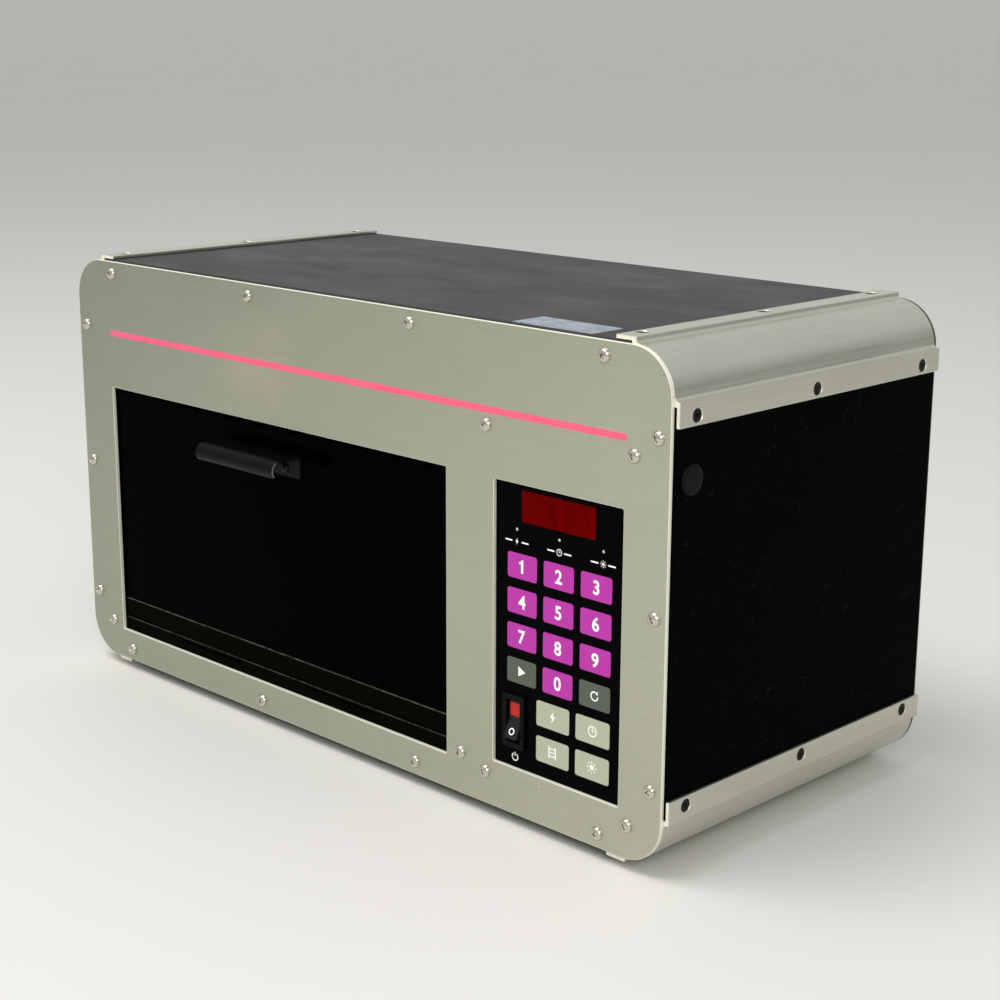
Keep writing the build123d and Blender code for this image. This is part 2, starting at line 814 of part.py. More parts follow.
def make_lamp_caps():
    """Aluminium end caps with two contact pins each."""
    caps = []
    for d in lamp_depths:
        for face, inwards, outwards, sign in ((lamp_left, RIGHT, LEFT, -1), (lamp_right, LEFT, RIGHT, 1)):
            cap = rod(face, d, lamp_v, inwards, lamp_diameter / 2 + lamp_cap_wall, lamp_cap_length,
                      pan_side_count)
            for side in (-1, 1):
                v = lamp_v + side * lamp_pin_spacing / 2
                half = lamp_pin_size / 2
                cap += block(face, face + sign * lamp_pin_length, d - half, d + half, v - half, v + half)
            caps.append(cap)
    return caps


def make_lampholders():
    """Slotted holders that hang from the reflector, a pair for each lamp."""
    holders = []
    low = lamp_v - holder_below_lamp
    for d in lamp_depths:
        y = py(d)
        half = holder_width / 2
        outline = Polyline(
            (y - half, pz(reflector_v)),
            (y - half, pz(low + holder_corner)),
            (y - half + holder_corner, pz(low)),
            (y + half - holder_corner, pz(low)),
            (y + half, pz(low + holder_corner)),
            (y + half, pz(reflector_v)),
            close=True,
        )
        body = make_face(outline.edges())
        slot_top = lamp_v + holder_slot_rise
        slot_half = holder_slot_width / 2
        for face, sign in ((lamp_left - lamp_gap, -1), (lamp_right + lamp_gap, 1)):
            start = face if sign > 0 else face - holder_depth
            holder = side_prism(body, start, holder_depth)
            slot = block(face - sign, face + sign * holder_slot_depth, d - slot_half, d + slot_half,
                         low - past, slot_top)
            holders.append(holder - slot)
    return holders


def make_sensor():
    """Ultraviolet sensor through the right chamber wall: window rim, threaded body and nut."""
    rim = rod(chamber_right, sensor_d, sensor_v, LEFT, sensor_radius, sensor_t, round_side_count)
    body = rod(chamber_right, sensor_d, sensor_v, RIGHT, sensor_body_radius, sensor_body_length,
               pan_side_count)
    return rim + body


def make_sensor_nut():
    nut = rod(liner_outer_right, sensor_d, sensor_v, RIGHT, sensor_nut, sensor_nut_t, hex_side_count)
    hole = rod(liner_outer_right - past, sensor_d, sensor_v, RIGHT, sensor_body_radius + sensor_clearance,
               sensor_nut_t + 2 * past, pan_side_count)
    return nut - hole


# ------------------------------------------------------------------ door frame, seal and catch
def make_door_frame():
    """Sheet frame round the chamber's mouth, behind the door."""
    frame = block(liner_outer_left, liner_outer_right, door_frame_front, door_frame_back,
                  hinge_rail_bottom, reflector_v)
    tools = [block(mouth_left, mouth_right, door_frame_front - past, door_frame_back + past,
                   mouth_bottom, mouth_top)]
    half = catch_width / 2 + catch_gap
    half_v = catch_height / 2 + catch_gap
    tools.append(block(catch_u - half, catch_u + half, door_frame_front - past, door_frame_back + past,
                       catch_v - half_v, catch_v + half_v))
    tools.append(bore(interlock_u, door_frame_front - past, plunger_v, BACK,
                      plunger_radius + plunger_clearance, door_frame_t + 2 * past))
    return cut(frame, tools)


def make_seal():
    """Foam strip round the mouth that the closed door almost touches."""
    front = door_back + seal_gap
    low_u = door_left + seal_inset
    high_u = door_left + door_width - seal_inset
    low_v = door_bottom + seal_inset
    high_v = door_top - seal_inset
    outer = block(low_u, high_u, front, front + seal_t, low_v, high_v)
    inner = block(low_u + seal_width, high_u - seal_width, front - past, front + seal_t + past,
                  low_v + seal_width, high_v - seal_width)
    return outer - inner


def make_catch():
    """Magnet block in the frame's slot, with a flange against the frame's back."""
    front = door_back + strike_t + catch_gap
    half = catch_width / 2
    half_v = catch_height / 2
    magnet = block(catch_u - half, catch_u + half, front, front + catch_depth,
                   catch_v - half_v, catch_v + half_v)
    wide = half + catch_flange
    flange = block(catch_u - wide, catch_u + wide, door_frame_back, front + catch_depth,
                   catch_v - half_v, catch_v + half_v)
    return magnet + flange


def make_strike():
    """Thin steel plate on the door's back, opposite the magnet."""
    half = catch_width / 2
    half_v = catch_height / 2
    return block(catch_u - half, catch_u + half, door_back, door_back + strike_t,
                 catch_v - half_v, catch_v + half_v)


def make_interlock():
    """Snap switch behind the frame, bored for its plunger."""
    half = interlock_width / 2
    half_v = interlock_height / 2
    body = block(interlock_u - half, interlock_u + half, door_frame_back,
                 door_frame_back + interlock_depth, plunger_v - half_v, plunger_v + half_v)
    depth = door_back + plunger_gap + plunger_length + plunger_overtravel - door_frame_back
    return body - bore(interlock_u, door_frame_back - past, plunger_v, BACK,
                       plunger_radius + plunger_clearance, depth + past)


def make_plunger():
    """Plunger pressed in by the closed door, its tip just off the door's back."""
    tip = door_back + plunger_gap
    return rod(interlock_u, tip, plunger_v, BACK, plunger_radius, plunger_length, pin_side_count)


# ------------------------------------------------------------------ door and hinge
knuckle_pitch = door_width / knuckle_count
hinge_screw_pitch = door_width / hinge_screw_count
hinge_screw_places = [door_left + (i + 0.5) * hinge_screw_pitch for i in range(hinge_screw_count)]
hinge_screw_row = (door_bottom + pin_v + leaf_rise) / 2
handle_screw_places = [handle_left + handle_screw_inset, handle_left + handle_length - handle_screw_inset]
handle_screw_v = handle_top - handle_screw_drop


def knuckles(first):
    """Every second knuckle along the pin, each joined to its leaf's plane."""
    pieces = []
    for i in range(first, knuckle_count, 2):
        start = door_left + i * knuckle_pitch + knuckle_end_gap / 2
        length = knuckle_pitch - knuckle_end_gap
        pieces.append((start, length))
    return pieces


def make_leaf(first, low, high, side):
    """Hinge leaf with its knuckles; side is 1 for the moving leaf above the pin, -1 below."""
    face = door_face - leaf_t
    leaf = block(door_left, door_left + door_width, face, face + leaf_t, low, high)
    bores = []
    for start, length in knuckles(first):
        far = pin_v + side * (knuckle_radius + knuckle_round_gap + past)
        leaf += block(start, start + length, face, face + leaf_t, pin_v, far)
        leaf += rod(start, pin_d, pin_v, RIGHT, knuckle_radius, length, pin_side_count)
        bores.append(bore(start - past, pin_d, pin_v, RIGHT, pin_radius + pin_clearance, length + 2 * past))
    return cut(leaf, bores)


def make_moving_leaf():
    low = pin_v + knuckle_radius + knuckle_round_gap
    leaf = make_leaf(1, low, pin_v + leaf_rise, 1)
    depth = door_face - leaf_t + hinge_screw_skin - hinge_screw_clearance
    holes = [rod(u, depth, hinge_screw_row, BACK, hinge_screw_radius + hinge_screw_clearance, leaf_t,
                 shank_side_count) for u in hinge_screw_places]
    return cut(leaf, holes)


def make_fixed_leaf():
    high = pin_v - knuckle_radius - knuckle_round_gap
    return make_leaf(0, pin_v - leaf_drop, high, -1)


def make_hinge_pin():
    return rod(door_left, pin_d, pin_v, RIGHT, pin_radius, door_width, pin_side_count)


def make_hinge_rail():
    """Bar behind the fixed leaf, screwed to the front plate at both of its taller ends."""
    top = hinge_rail_bottom + hinge_rail_height
    lug_top = hinge_rail_bottom + hinge_lug_height
    pocket_left = door_left - leaf_pocket_gap
    pocket_right = door_left + door_width + leaf_pocket_gap
    rail = block(hinge_rail_left, hinge_rail_right, front_plate_t, door_frame_front, hinge_rail_bottom, top)
    for u0, u1 in ((hinge_rail_left, pocket_left), (pocket_right, hinge_rail_right)):
        rail += block(u0, u1, front_plate_t, door_frame_front, hinge_rail_bottom, lug_top)
    pocket = block(pocket_left, pocket_right, front_plate_t - past, door_face, hinge_rail_bottom - past,
                   top + past)
    holes = [shank_hole(u, front_plate_t - past, v, BACK, door_frame_front) for u, v in hinge_rail_screws]
    return cut(rail, [pocket] + holes)


def make_door_panel():
    """Dark ultraviolet-blocking sheet with bevelled front edges."""
    panel = block(door_left, door_left + door_width, door_face, door_back, door_bottom, door_top)
    panel = chamfer(panel.faces().sort_by(Axis.Y)[0].edges(), door_bevel)
    holes = []
    for u in hinge_screw_places:
        seat = door_back - hinge_screw_head_t - hinge_screw_clearance
        holes.append(rod(u, seat, hinge_screw_row, BACK, hinge_screw_head + hinge_screw_clearance,
                         hinge_screw_head_t + past, head_side_count))
        holes.append(rod(u, door_face - past, hinge_screw_row, BACK,
                         hinge_screw_radius + hinge_screw_clearance, door_t + 2 * past, shank_side_count))
    for u in handle_screw_places:
        holes.append(rod(u, door_face - past, handle_screw_v, BACK,
                         handle_screw_radius + handle_screw_clearance, door_t + 2 * past, shank_side_count))
    return cut(panel, holes)


def make_hinge_screws():
    """Countersunk screws from behind the door into the moving leaf."""
    screws = []
    for u in hinge_screw_places:
        head = rod(u, door_back - hinge_screw_head_t, hinge_screw_row, BACK, hinge_screw_head,
                   hinge_screw_head_t, head_side_count)
        tip = door_face - leaf_t + hinge_screw_skin
        shank = rod(u, tip, hinge_screw_row, BACK, hinge_screw_radius, door_back - tip, shank_side_count)
        screws.append(head + shank)
    return screws


def make_handle():
    """Finger pull: a flange on the door, a flat ledge and a rolled lip."""
    face = py(door_face)
    roll = py(door_face - handle_flat)
    top = pz(handle_top)
    centre = (roll, top - handle_roll)
    outer = CenterArc(centre, handle_roll, 90, handle_roll_turn)
    inner = CenterArc(centre, handle_roll - handle_t, 90, handle_roll_turn)
    edges = [
        Line((face, top), (roll, top)),
        outer,
        Line(outer @ 1, inner @ 1),
        inner,
        Line(inner @ 0, (face - handle_t, top - handle_t)),
        Line((face - handle_t, top - handle_t), (face - handle_t, top - handle_flange)),
        Line((face - handle_t, top - handle_flange), (face, top - handle_flange)),
        Line((face, top - handle_flange), (face, top)),
    ]
    handle = side_prism(make_face(edges), handle_left, handle_length)
    holes = [rod(u, door_face - handle_t - past, handle_screw_v, BACK,
                 handle_screw_radius + handle_screw_clearance, handle_t + 2 * past, shank_side_count)
             for u in handle_screw_places]
    return cut(handle, holes)


def make_handle_screws():
    """Screws from the flange's face through the door."""
    screws = []
    for u in handle_screw_places:
        face = door_face - handle_t
        head = rod(u, face, handle_screw_v, FRONT, handle_screw_head, handle_screw_head_t, head_side_count)
        shank = rod(u, face, handle_screw_v, BACK, handle_screw_radius, handle_t + door_t, shank_side_count)
        screws.append(head + shank)
    return screws


# ------------------------------------------------------------------ keypad
switch_centre_u = keypad_left_edge + switch_u
switch_centre_v = keypad_sill + switch_v


def switch_cutout(d0, d1):
    """Opening for the power switch's body."""
    half_u = switch_body_width / 2 + switch_fit
    half_v = switch_body_height / 2 + switch_fit
    return block(switch_centre_u - half_u, switch_centre_u + half_u, d0, d1,
                 switch_centre_v - half_v, switch_centre_v + half_v)


def window_block(extra, d0, d1):
    """Block of the display window's size, larger by so much on every side."""
    u0 = keypad_left_edge + window_left
    v0 = keypad_sill + window_bottom
    return block(u0 - extra, u0 + window_width + extra, d0, d1, v0 - extra, v0 + window_height + extra)


def key_pad(left, top, width, height):
    """Embossed field of one key, proud of the overlay."""
    middle_u = keypad_left_edge + left + width / 2
    middle_v = keypad_sill + top - height / 2
    field = Rectangle(width, height)
    field = Pos(px(middle_u), pz(middle_v)) * chamfer(field.vertices(), key_corner)
    return front_sheet(field, overlay_face - key_emboss, key_emboss + overlay_t / 2)


def make_overlay():
    """Membrane sheet behind the front plate, with sixteen embossed keys."""
    u1 = keypad_left_edge + keypad_width + keypad_overlap
    v1 = keypad_sill + keypad_height + keypad_overlap
    sheet = block(keypad_left_edge - keypad_overlap, u1, overlay_face, overlay_back,
                  keypad_sill - keypad_overlap, v1)
    for row in range(key_rows):
        for column in range(key_columns):
            left = key_left + column * key_pitch_u
            sheet += key_pad(left, key_top - row * key_pitch_v, key_width, key_height)
    for row in range(2):
        for column in range(2):
            left = mode_key_left + column * mode_key_pitch_u
            sheet += key_pad(left, mode_key_top - row * mode_key_pitch_v, mode_key_width, mode_key_height)
    return sheet - switch_cutout(0, overlay_back + past) - window_block(0, 0, overlay_back + past)


def make_display_window():
    """Red filter: its front fills the overlay's window and its rim lies behind the overlay."""
    front = window_block(-window_fit, overlay_face + window_set_back, overlay_back)
    return front + window_block(window_step, overlay_back, keypad_plate_back)


board_left = liner_outer_right + board_left_gap
board_width = case_width - board_right_gap - board_left
board_mid = board_left + board_width / 2
board_bottom = keypad_sill + board_above_sill
led_places = [keypad_left_edge + led_left + i * led_pitch for i in range(led_count)]
tail_middle = keypad_left_edge + keypad_width / 2
tail_top = board_bottom + tail_lap
tail_bottom = board_bottom - tail_lap


def make_keypad_plate():
    """Stiff plate behind the overlay, screwed to the front plate at its corners."""
    plate = block(keypad_plate_u0, keypad_plate_u1, overlay_back, keypad_plate_back,
                  keypad_plate_v0, keypad_plate_v1)
    tools = [switch_cutout(overlay_back - past, keypad_plate_back + past)]
    tools.append(window_block(window_step + window_fit, overlay_back - past, keypad_plate_back + past))
    for u, v in keypad_screws:
        tools.append(shank_hole(u, overlay_back - past, v, BACK, keypad_plate_t + 2 * past))
    for u in led_places:
        tools.append(rod(u, overlay_back - past, keypad_sill + led_up, BACK, led_radius + led_fit,
                         keypad_plate_t + 2 * past, pan_side_count))
    half = tail_width / 2 + tail_slot_gap
    tools.append(block(tail_middle - half, tail_middle + half, overlay_back - past, keypad_plate_back + past,
                       tail_bottom - tail_slot_gap, tail_bottom + tail_slot_gap))
    return cut(plate, tools)


def make_keypad_spacers():
    """Washers that fill the overlay's thickness at the keypad's screws."""
    spacers = []
    for u, v in keypad_screws:
        ring = rod(u, overlay_face, v, BACK, spacer_radius, overlay_t, head_side_count)
        spacers.append(ring - shank_hole(u, overlay_face - past, v, BACK, overlay_t + 2 * past))
    return spacers


def make_keypad_tail():
    """Flat tail from the membrane, through the plate and up to the board."""
    bend = keypad_plate_back + tail_depth
    u0 = tail_middle - tail_width / 2
    u1 = tail_middle + tail_width / 2
    half = tail_t / 2
    tail = block(u0, u1, overlay_back, bend, tail_bottom - half, tail_bottom + half)
    tail += block(u0, u1, bend - tail_t, bend, tail_bottom - half, tail_top)
    return tail + block(u0, u1, bend - tail_t, board_set_back, tail_top - tail_t, tail_top)


# ------------------------------------------------------------------ boards and display
board_back = board_set_back + board_t
standoff_places = [
    (u, v)
    for u in (board_left + standoff_inset, board_left + board_width - standoff_inset)
    for v in (board_bottom + standoff_inset, board_bottom + board_height - standoff_inset)
]


def make_leds():
    """Indicator lamps that reach from the board to the overlay's back."""
    tip = overlay_back + led_gap
    return [rod(u, tip, keypad_sill + led_up, BACK, led_radius, board_set_back - tip, pan_side_count)
            for u in led_places]


def make_display():
    """Digit display between the board and the red filter."""
    u = keypad_left_edge + window_left + window_width / 2
    v = keypad_sill + window_bottom + window_height / 2
    return block(u - display_width / 2, u + display_width / 2, keypad_plate_back + display_gap,
                 board_set_back, v - display_height / 2, v + display_height / 2)


def make_board():
    """Control board behind the keypad plate."""
    board = block(board_left, board_left + board_width, board_set_back, board_back,
                  board_bottom, board_bottom + board_height)
    return cut(board, [shank_hole(u, board_set_back - past, v, BACK, board_t + 2 * past, rail_shank_radius)
                       for u, v in standoff_places])


def make_standoffs():
    """Hexagonal posts from the keypad plate to the board."""
    length = board_set_back - keypad_plate_back
    return [rod(u, keypad_plate_back, v, BACK, standoff_radius, length, hex_side_count)
            for u, v in standoff_places]


def make_board_screws():
    """Screws through the board, their heads behind it."""
    screws = []
    for u, v in standoff_places:
        head = rod(u, board_back, v, BACK, rail_head_radius, board_head_height, head_side_count)
        screws.append(head + rod(u, board_back, v, FRONT, rail_shank_radius, board_t, shank_side_count))
    return screws


def board_part(u, up, width, height, depth):
    """Block on the board's back, so far above the board's bottom edge."""
    low = board_bottom + up
    return block(u - width / 2, u + width / 2, board_back, board_back + depth, low, low + height)


def make_board_parts():
    """Relays, terminal block and chip on the board's back."""
    parts = []
    for i in range(relay_count):
        u = board_mid + (i - (relay_count - 1) / 2) * relay_pitch
        parts.append(board_part(u, relay_up, relay_width, relay_height, relay_depth))
    parts.append(board_part(board_mid, terminal_block_up, terminal_block_width, terminal_block_height,
                            terminal_block_depth))
    parts.append(board_part(board_mid, chip_up, chip_width, chip_height, chip_depth))
    return parts


# ------------------------------------------------------------------ power switch
pivot_d = overlay_face + rocker_pivot_behind
well_half_u = rocker_width / 2 + rocker_side_gap
well_half_v = rocker_length / 2 + rocker_end_gap


def make_switch_body():
    """Snap-in housing: raised guard rim, body with the rocker's well, and blade terminals."""
    middle = Pos(px(switch_centre_u), pz(switch_centre_v))
    rim = Rectangle(bezel_width, bezel_height)
    rim = front_sheet(middle * chamfer(rim.vertices(), bezel_corner), overlay_face - bezel_proud, bezel_proud)
    half_u = switch_body_width / 2
    half_v = switch_body_height / 2
    back = overlay_face + switch_body_depth
    body = rim + block(switch_centre_u - half_u, switch_centre_u + half_u, overlay_face, back,
                       switch_centre_v - half_v, switch_centre_v + half_v)
    well = block(switch_centre_u - well_half_u, switch_centre_u + well_half_u,
                 overlay_face - bezel_proud - past, overlay_face + rocker_well,
                 switch_centre_v - well_half_v, switch_centre_v + well_half_v)
    seat_length = 2 * (well_half_u + trunnion_length)
    seats = bore(switch_centre_u - seat_length / 2, pivot_d, switch_centre_v, RIGHT,
                 trunnion_radius + trunnion_clearance, seat_length)
    body = body - well - seats
    for i in range(terminal_count):
        v = switch_centre_v + (i - (terminal_count - 1) / 2) * (terminal_width + terminal_gap)
        body += block(switch_centre_u - terminal_t / 2, switch_centre_u + terminal_t / 2,
                      back, back + terminal_length, v - terminal_width / 2, v + terminal_width / 2)
    return body


def turned_rocker(part):
    """Turn a piece drawn with the rocker level to its place at rest, lower end out."""
    pivot = Axis((px(switch_centre_u), py(pivot_d), pz(switch_centre_v)), RIGHT)
    return part.rotate(pivot, -rocker_angle)


def rocker_face_point(share, proud=0.0):
    """Point on the rocker's face, share of the way from its middle to the upper end."""
    half = rocker_length / 2
    fall = rocker_tip - rocker_front
    slope = math.atan2(fall, half)
    y = py(pivot_d) - rocker_front - fall * share - proud * math.cos(slope)
    z = pz(switch_centre_v) + half * share - proud * math.sin(slope)
    return (y, z)


def make_rocker():
    """Two-faced rocker with its trunnions, and a recess for the red flag in the upper face."""
    half = rocker_length / 2
    y = py(pivot_d)
    z = pz(switch_centre_v)
    outline = Polyline(
        (y - rocker_front, z),
        (y - rocker_tip, z + half),
        (y, z + half),
        (y + rocker_back, z + rocker_back_half),
        (y + rocker_back, z - rocker_back_half),
        (y, z - half),
        (y - rocker_tip, z - half),
        close=True,
    )
    rocker = side_prism(make_face(outline.edges()), switch_centre_u - rocker_width / 2, rocker_width)
    length = rocker_width + 2 * (rocker_side_gap + trunnion_length - trunnion_end_gap)
    rocker += rod(switch_centre_u - length / 2, pivot_d, switch_centre_v, RIGHT, trunnion_radius, length,
                  pin_side_count)
    return turned_rocker(rocker - flag_solid())


def flag_solid():
    """Red flag let into the rocker's upper face."""
    half = rocker_length / 2
    start = flag_start / half
    end = (flag_start + flag_size) / half
    corners = [rocker_face_point(start), rocker_face_point(end),
               rocker_face_point(end, -flag_t), rocker_face_point(start, -flag_t)]
    profile = make_face(Polyline(*corners, close=True).edges())
    return side_prism(profile, switch_centre_u - flag_size / 2, flag_size)


# ------------------------------------------------------------------ control bay
ballast_plate_back = liner_outer_right + ballast_plate_t
ballast_d1 = chamber_back - ballast_back_gap
ballast_d0 = ballast_d1 - ballast_foot
ballast_mid = (ballast_d0 + ballast_d1) / 2
starter_d = ballast_d0 - starter_set
ballast_places = [ballast_bottom + i * ballast_pitch for i in range(lamp_count)]


def make_ballast_plate():
    """Plate on the chamber's right wall that carries the ballasts and starters."""
    top = ballast_places[-1] + ballast_height + ballast_plate_margin
    front = starter_d - starter_base / 2 - ballast_plate_margin
    return block(liner_outer_right, ballast_plate_back, front, ballast_d1 + ballast_plate_margin,
                 ballast_bottom - ballast_plate_margin, top)


def make_ballasts():
    """One choke ballast for each lamp: a foot strip under a taller core."""
    ballasts = []
    for v in ballast_places:
        foot = block(ballast_plate_back, ballast_plate_back + ballast_foot_t, ballast_d0, ballast_d1,
                     v, v + ballast_height)
        core = block(ballast_plate_back, ballast_plate_back + ballast_depth,
                     ballast_mid - ballast_length / 2, ballast_mid + ballast_length / 2,
                     v, v + ballast_height)
        ballasts.append(foot + core)
    return ballasts


def make_starter_sockets():
    """Square sockets that the starters stand in."""
    sockets = []
    for v in ballast_places:
        middle = v + ballast_height / 2
        half = starter_base / 2
        sockets.append(block(ballast_plate_back, ballast_plate_back + starter_base_t, starter_d - half,
                             starter_d + half, middle - half, middle + half))
    return sockets


def make_starters():
    """One glow starter for each lamp."""
    return [rod(ballast_plate_back + starter_base_t, starter_d, v + ballast_height / 2, RIGHT,
                starter_radius, starter_length, pan_side_count) for v in ballast_places]


transformer_u = ballast_plate_back + ballast_depth + transformer_gap + core_width / 2
transformer_d = rail_back - transformer_back


def make_transformer_core():
    """Laminated core and its foot strap, on the bottom panel."""
    base = bottom_inner
    half = core_width / 2
    core = block(transformer_u - half, transformer_u + half, transformer_d - core_depth / 2,
                 transformer_d + core_depth / 2, base, base + core_height)
    foot = block(transformer_u - transformer_foot / 2, transformer_u + transformer_foot / 2,
                 transformer_d - core_depth / 2, transformer_d + core_depth / 2,
                 base, base + transformer_foot_t)
    return core + foot - winding_block(core_depth)


def winding_block(half_depth):
    """Block that fills the core's window, standing so far out from the core's middle."""
    half_u = core_width / 2 - core_limb
    middle = bottom_inner + core_height / 2
    return block(transformer_u - half_u, transformer_u + half_u, transformer_d - half_depth,
                 transformer_d + half_depth, middle - coil_height / 2, middle + coil_height / 2)


def make_transformer_coil():
    """Winding through the core, standing out on both sides."""
    return winding_block(coil_depth / 2)


# ------------------------------------------------------------------ mains inlet
def make_inlet():
    """Panel inlet: flange outside the back plate, shell through it, three pins in the socket."""
    u = case_width - inlet_right
    face = rail_back + back_plate_t
    half_u = inlet_flange_width / 2
    half_v = inlet_flange_height / 2
    body = block(u - half_u, u + half_u, face, face + inlet_flange_t, inlet_up - half_v, inlet_up + half_v)
    inner = face + inlet_flange_t - inlet_depth
    body += block(u - inlet_width / 2, u + inlet_width / 2, inner, face,
                  inlet_up - inlet_height / 2, inlet_up + inlet_height / 2)
    socket_half_u = inlet_width / 2 - inlet_wall
    socket_half_v = inlet_height / 2 - inlet_wall
    floor = face + inlet_flange_t - inlet_socket_depth
    body -= block(u - socket_half_u, u + socket_half_u, floor, face + inlet_flange_t + past,
                  inlet_up - socket_half_v, inlet_up + socket_half_v)
    for side in (-1, 1):
        screw_u = u + side * inlet_screw_pitch / 2
        body -= shank_hole(screw_u, face - past, inlet_up, BACK, inlet_flange_t + 2 * past, rail_shank_radius)
    for side in (-1, 0, 1):
        pin_u = u + side * inlet_pin_pitch
        rise = inlet_pin_rise if side == 0 else -inlet_pin_rise
        pin_v0 = inlet_up + rise - inlet_pin_height / 2
        body += block(pin_u - inlet_pin_width / 2, pin_u + inlet_pin_width / 2, floor,
                      floor + inlet_pin_length, pin_v0, pin_v0 + inlet_pin_height)
        body += block(pin_u - terminal_t / 2, pin_u + terminal_t / 2, inner - inlet_tab_length, inner,
                      pin_v0, pin_v0 + inlet_pin_height)
    return body


def make_inlet_screws():
    """Two screws through the inlet's flange, with their heads level with it."""
    u = case_width - inlet_right
    face = rail_back + back_plate_t
    screws = []
    for side in (-1, 1):
        screw_u = u + side * inlet_screw_pitch / 2
        screws.append(rod(screw_u, face + inlet_flange_t, inlet_up, FRONT, rail_shank_radius,
                          inlet_flange_t + back_plate_t + inlet_screw_tip, shank_side_count))
    return screws


# ------------------------------------------------------------------ write the nodes
rail = make_rail()
rail_screws = make_rail_screws()

emit("front_plate", make_front_plate())
emit("back_plate", make_back_plate())
emit("rail_top_right", rail)
emit("rail_top_left", mirror_u(rail))
emit("rail_bottom_right", mirror_v(rail))
emit("rail_bottom_left", mirror_u(mirror_v(rail)))
emit("top_panel", make_top_panel())
emit("bottom_panel", make_bottom_panel())
emit("right_side_panel", make_right_panel(True))
emit("left_side_panel", mirror_u(make_right_panel(False)))
emit("side_hole_plug", make_hole_plug())
emit("front_plate_screws", *make_front_screws())
emit("back_plate_screws", *make_back_screws())
emit("rail_screws", *rail_screws, *[mirror_u(s) for s in rail_screws], *[mirror_v(s) for s in rail_screws],
     *[mirror_u(mirror_v(s)) for s in rail_screws])
emit("rubber_feet", *make_feet())
emit("foot_screws", *make_foot_screws())

emit("chamber_liner", make_chamber_liner())
emit("lamp_reflector", make_reflector())
emit("uv_lamps", *make_lamps())
emit("lamp_caps", *make_lamp_caps())
emit("lampholders", *make_lampholders())
emit("uv_sensor", make_sensor())
emit("uv_sensor_nut", make_sensor_nut())
emit("door_frame", make_door_frame())
emit("door_seal", make_seal())
emit("catch_magnet", make_catch())
emit("interlock_switch", make_interlock())
emit("interlock_plunger", make_plunger())

emit("door_panel", make_door_panel())
emit("door_strike", make_strike())
emit("hinge_moving_leaf", make_moving_leaf())
emit("hinge_fixed_leaf", make_fixed_leaf())
emit("hinge_pin", make_hinge_pin())
emit("hinge_rail", make_hinge_rail())
emit("hinge_screws", *make_hinge_screws())
emit("door_handle", make_handle())
emit("handle_screws", *make_handle_screws())

emit("keypad_overlay", make_overlay())
emit("keypad_plate", make_keypad_plate())
emit("keypad_spacers", *make_keypad_spacers())
emit("keypad_tail", make_keypad_tail())
emit("display_window", make_display_window())
emit("display_module", make_display())
emit("indicator_leds", *make_leds())
emit("control_board", make_board())
emit("board_components", *make_board_parts())
emit("board_standoffs", *make_standoffs())
emit("board_screws", *make_board_screws())

emit("switch_housing", make_switch_body())
emit("power_rocker", make_rocker())
emit("rocker_flag", turned_rocker(flag_solid()))

emit("ballast_plate", make_ballast_plate())
emit("ballasts", *make_ballasts())
emit("starter_sockets", *make_starter_sockets())
emit("starters", *make_starters())
emit("transformer_core", make_transformer_core())
emit("transformer_coil", make_transformer_coil())
emit("mains_inlet", make_inlet())
emit("inlet_screws", *make_inlet_screws())
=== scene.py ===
"""Looks of a bench-top ultraviolet crosslinker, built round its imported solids.

Places on the object are written as (u, d, v) in millimetres: u to the right from the front plate's left
edge, d backwards from its front face, and v upwards from its bottom edge. at() turns them into metres.
"""
import math

import bmesh
import bpy
from mathutils import Matrix, Vector


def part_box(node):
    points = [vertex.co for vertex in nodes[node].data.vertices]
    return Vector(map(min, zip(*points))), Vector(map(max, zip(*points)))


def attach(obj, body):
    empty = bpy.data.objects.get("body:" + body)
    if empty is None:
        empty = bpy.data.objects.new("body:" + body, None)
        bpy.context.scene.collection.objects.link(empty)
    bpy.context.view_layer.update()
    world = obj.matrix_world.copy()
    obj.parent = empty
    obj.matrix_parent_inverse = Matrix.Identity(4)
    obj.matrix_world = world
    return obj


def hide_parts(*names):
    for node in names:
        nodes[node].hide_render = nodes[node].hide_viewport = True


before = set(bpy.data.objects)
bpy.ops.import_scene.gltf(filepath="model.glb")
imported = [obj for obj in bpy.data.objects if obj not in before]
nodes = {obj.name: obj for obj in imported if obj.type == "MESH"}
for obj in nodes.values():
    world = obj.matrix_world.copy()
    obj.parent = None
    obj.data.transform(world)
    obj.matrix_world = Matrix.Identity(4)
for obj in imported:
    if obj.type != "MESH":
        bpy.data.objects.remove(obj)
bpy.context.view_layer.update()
scene = bpy.context.scene

MM = 0.001
plate_low, plate_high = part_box("front_plate")
CASE_WIDTH = (plate_high.x - plate_low.x) / MM
CASE_HEIGHT = (plate_high.z - plate_low.z) / MM


def at(u, d, v):
    """Point on the object, in metres."""
    return Vector((plate_low.x + u * MM, plate_low.y + d * MM, plate_low.z + v * MM))


def span(node):
    """A node's lowest and highest u, d and v, in millimetres."""
    return [(corner - plate_low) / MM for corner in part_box(node)]


def middle(node):
    """A node's middle u, d and v, in millimetres."""
    return [(low + high) / 2 for low, high in zip(*span(node))]


# ---- node trees
def add_node(tree, kind, inputs=(), **settings):
    """New node with its settings, each of the inputs linked to a socket or given a value."""
    made = tree.nodes.new(kind)
    for key, value in settings.items():
        setattr(made, key, value)
    for key, value in dict(inputs).items():
        if isinstance(value, bpy.types.NodeSocket):
            tree.links.new(value, made.inputs[key])
        else:
            made.inputs[key].default_value = value
    return made


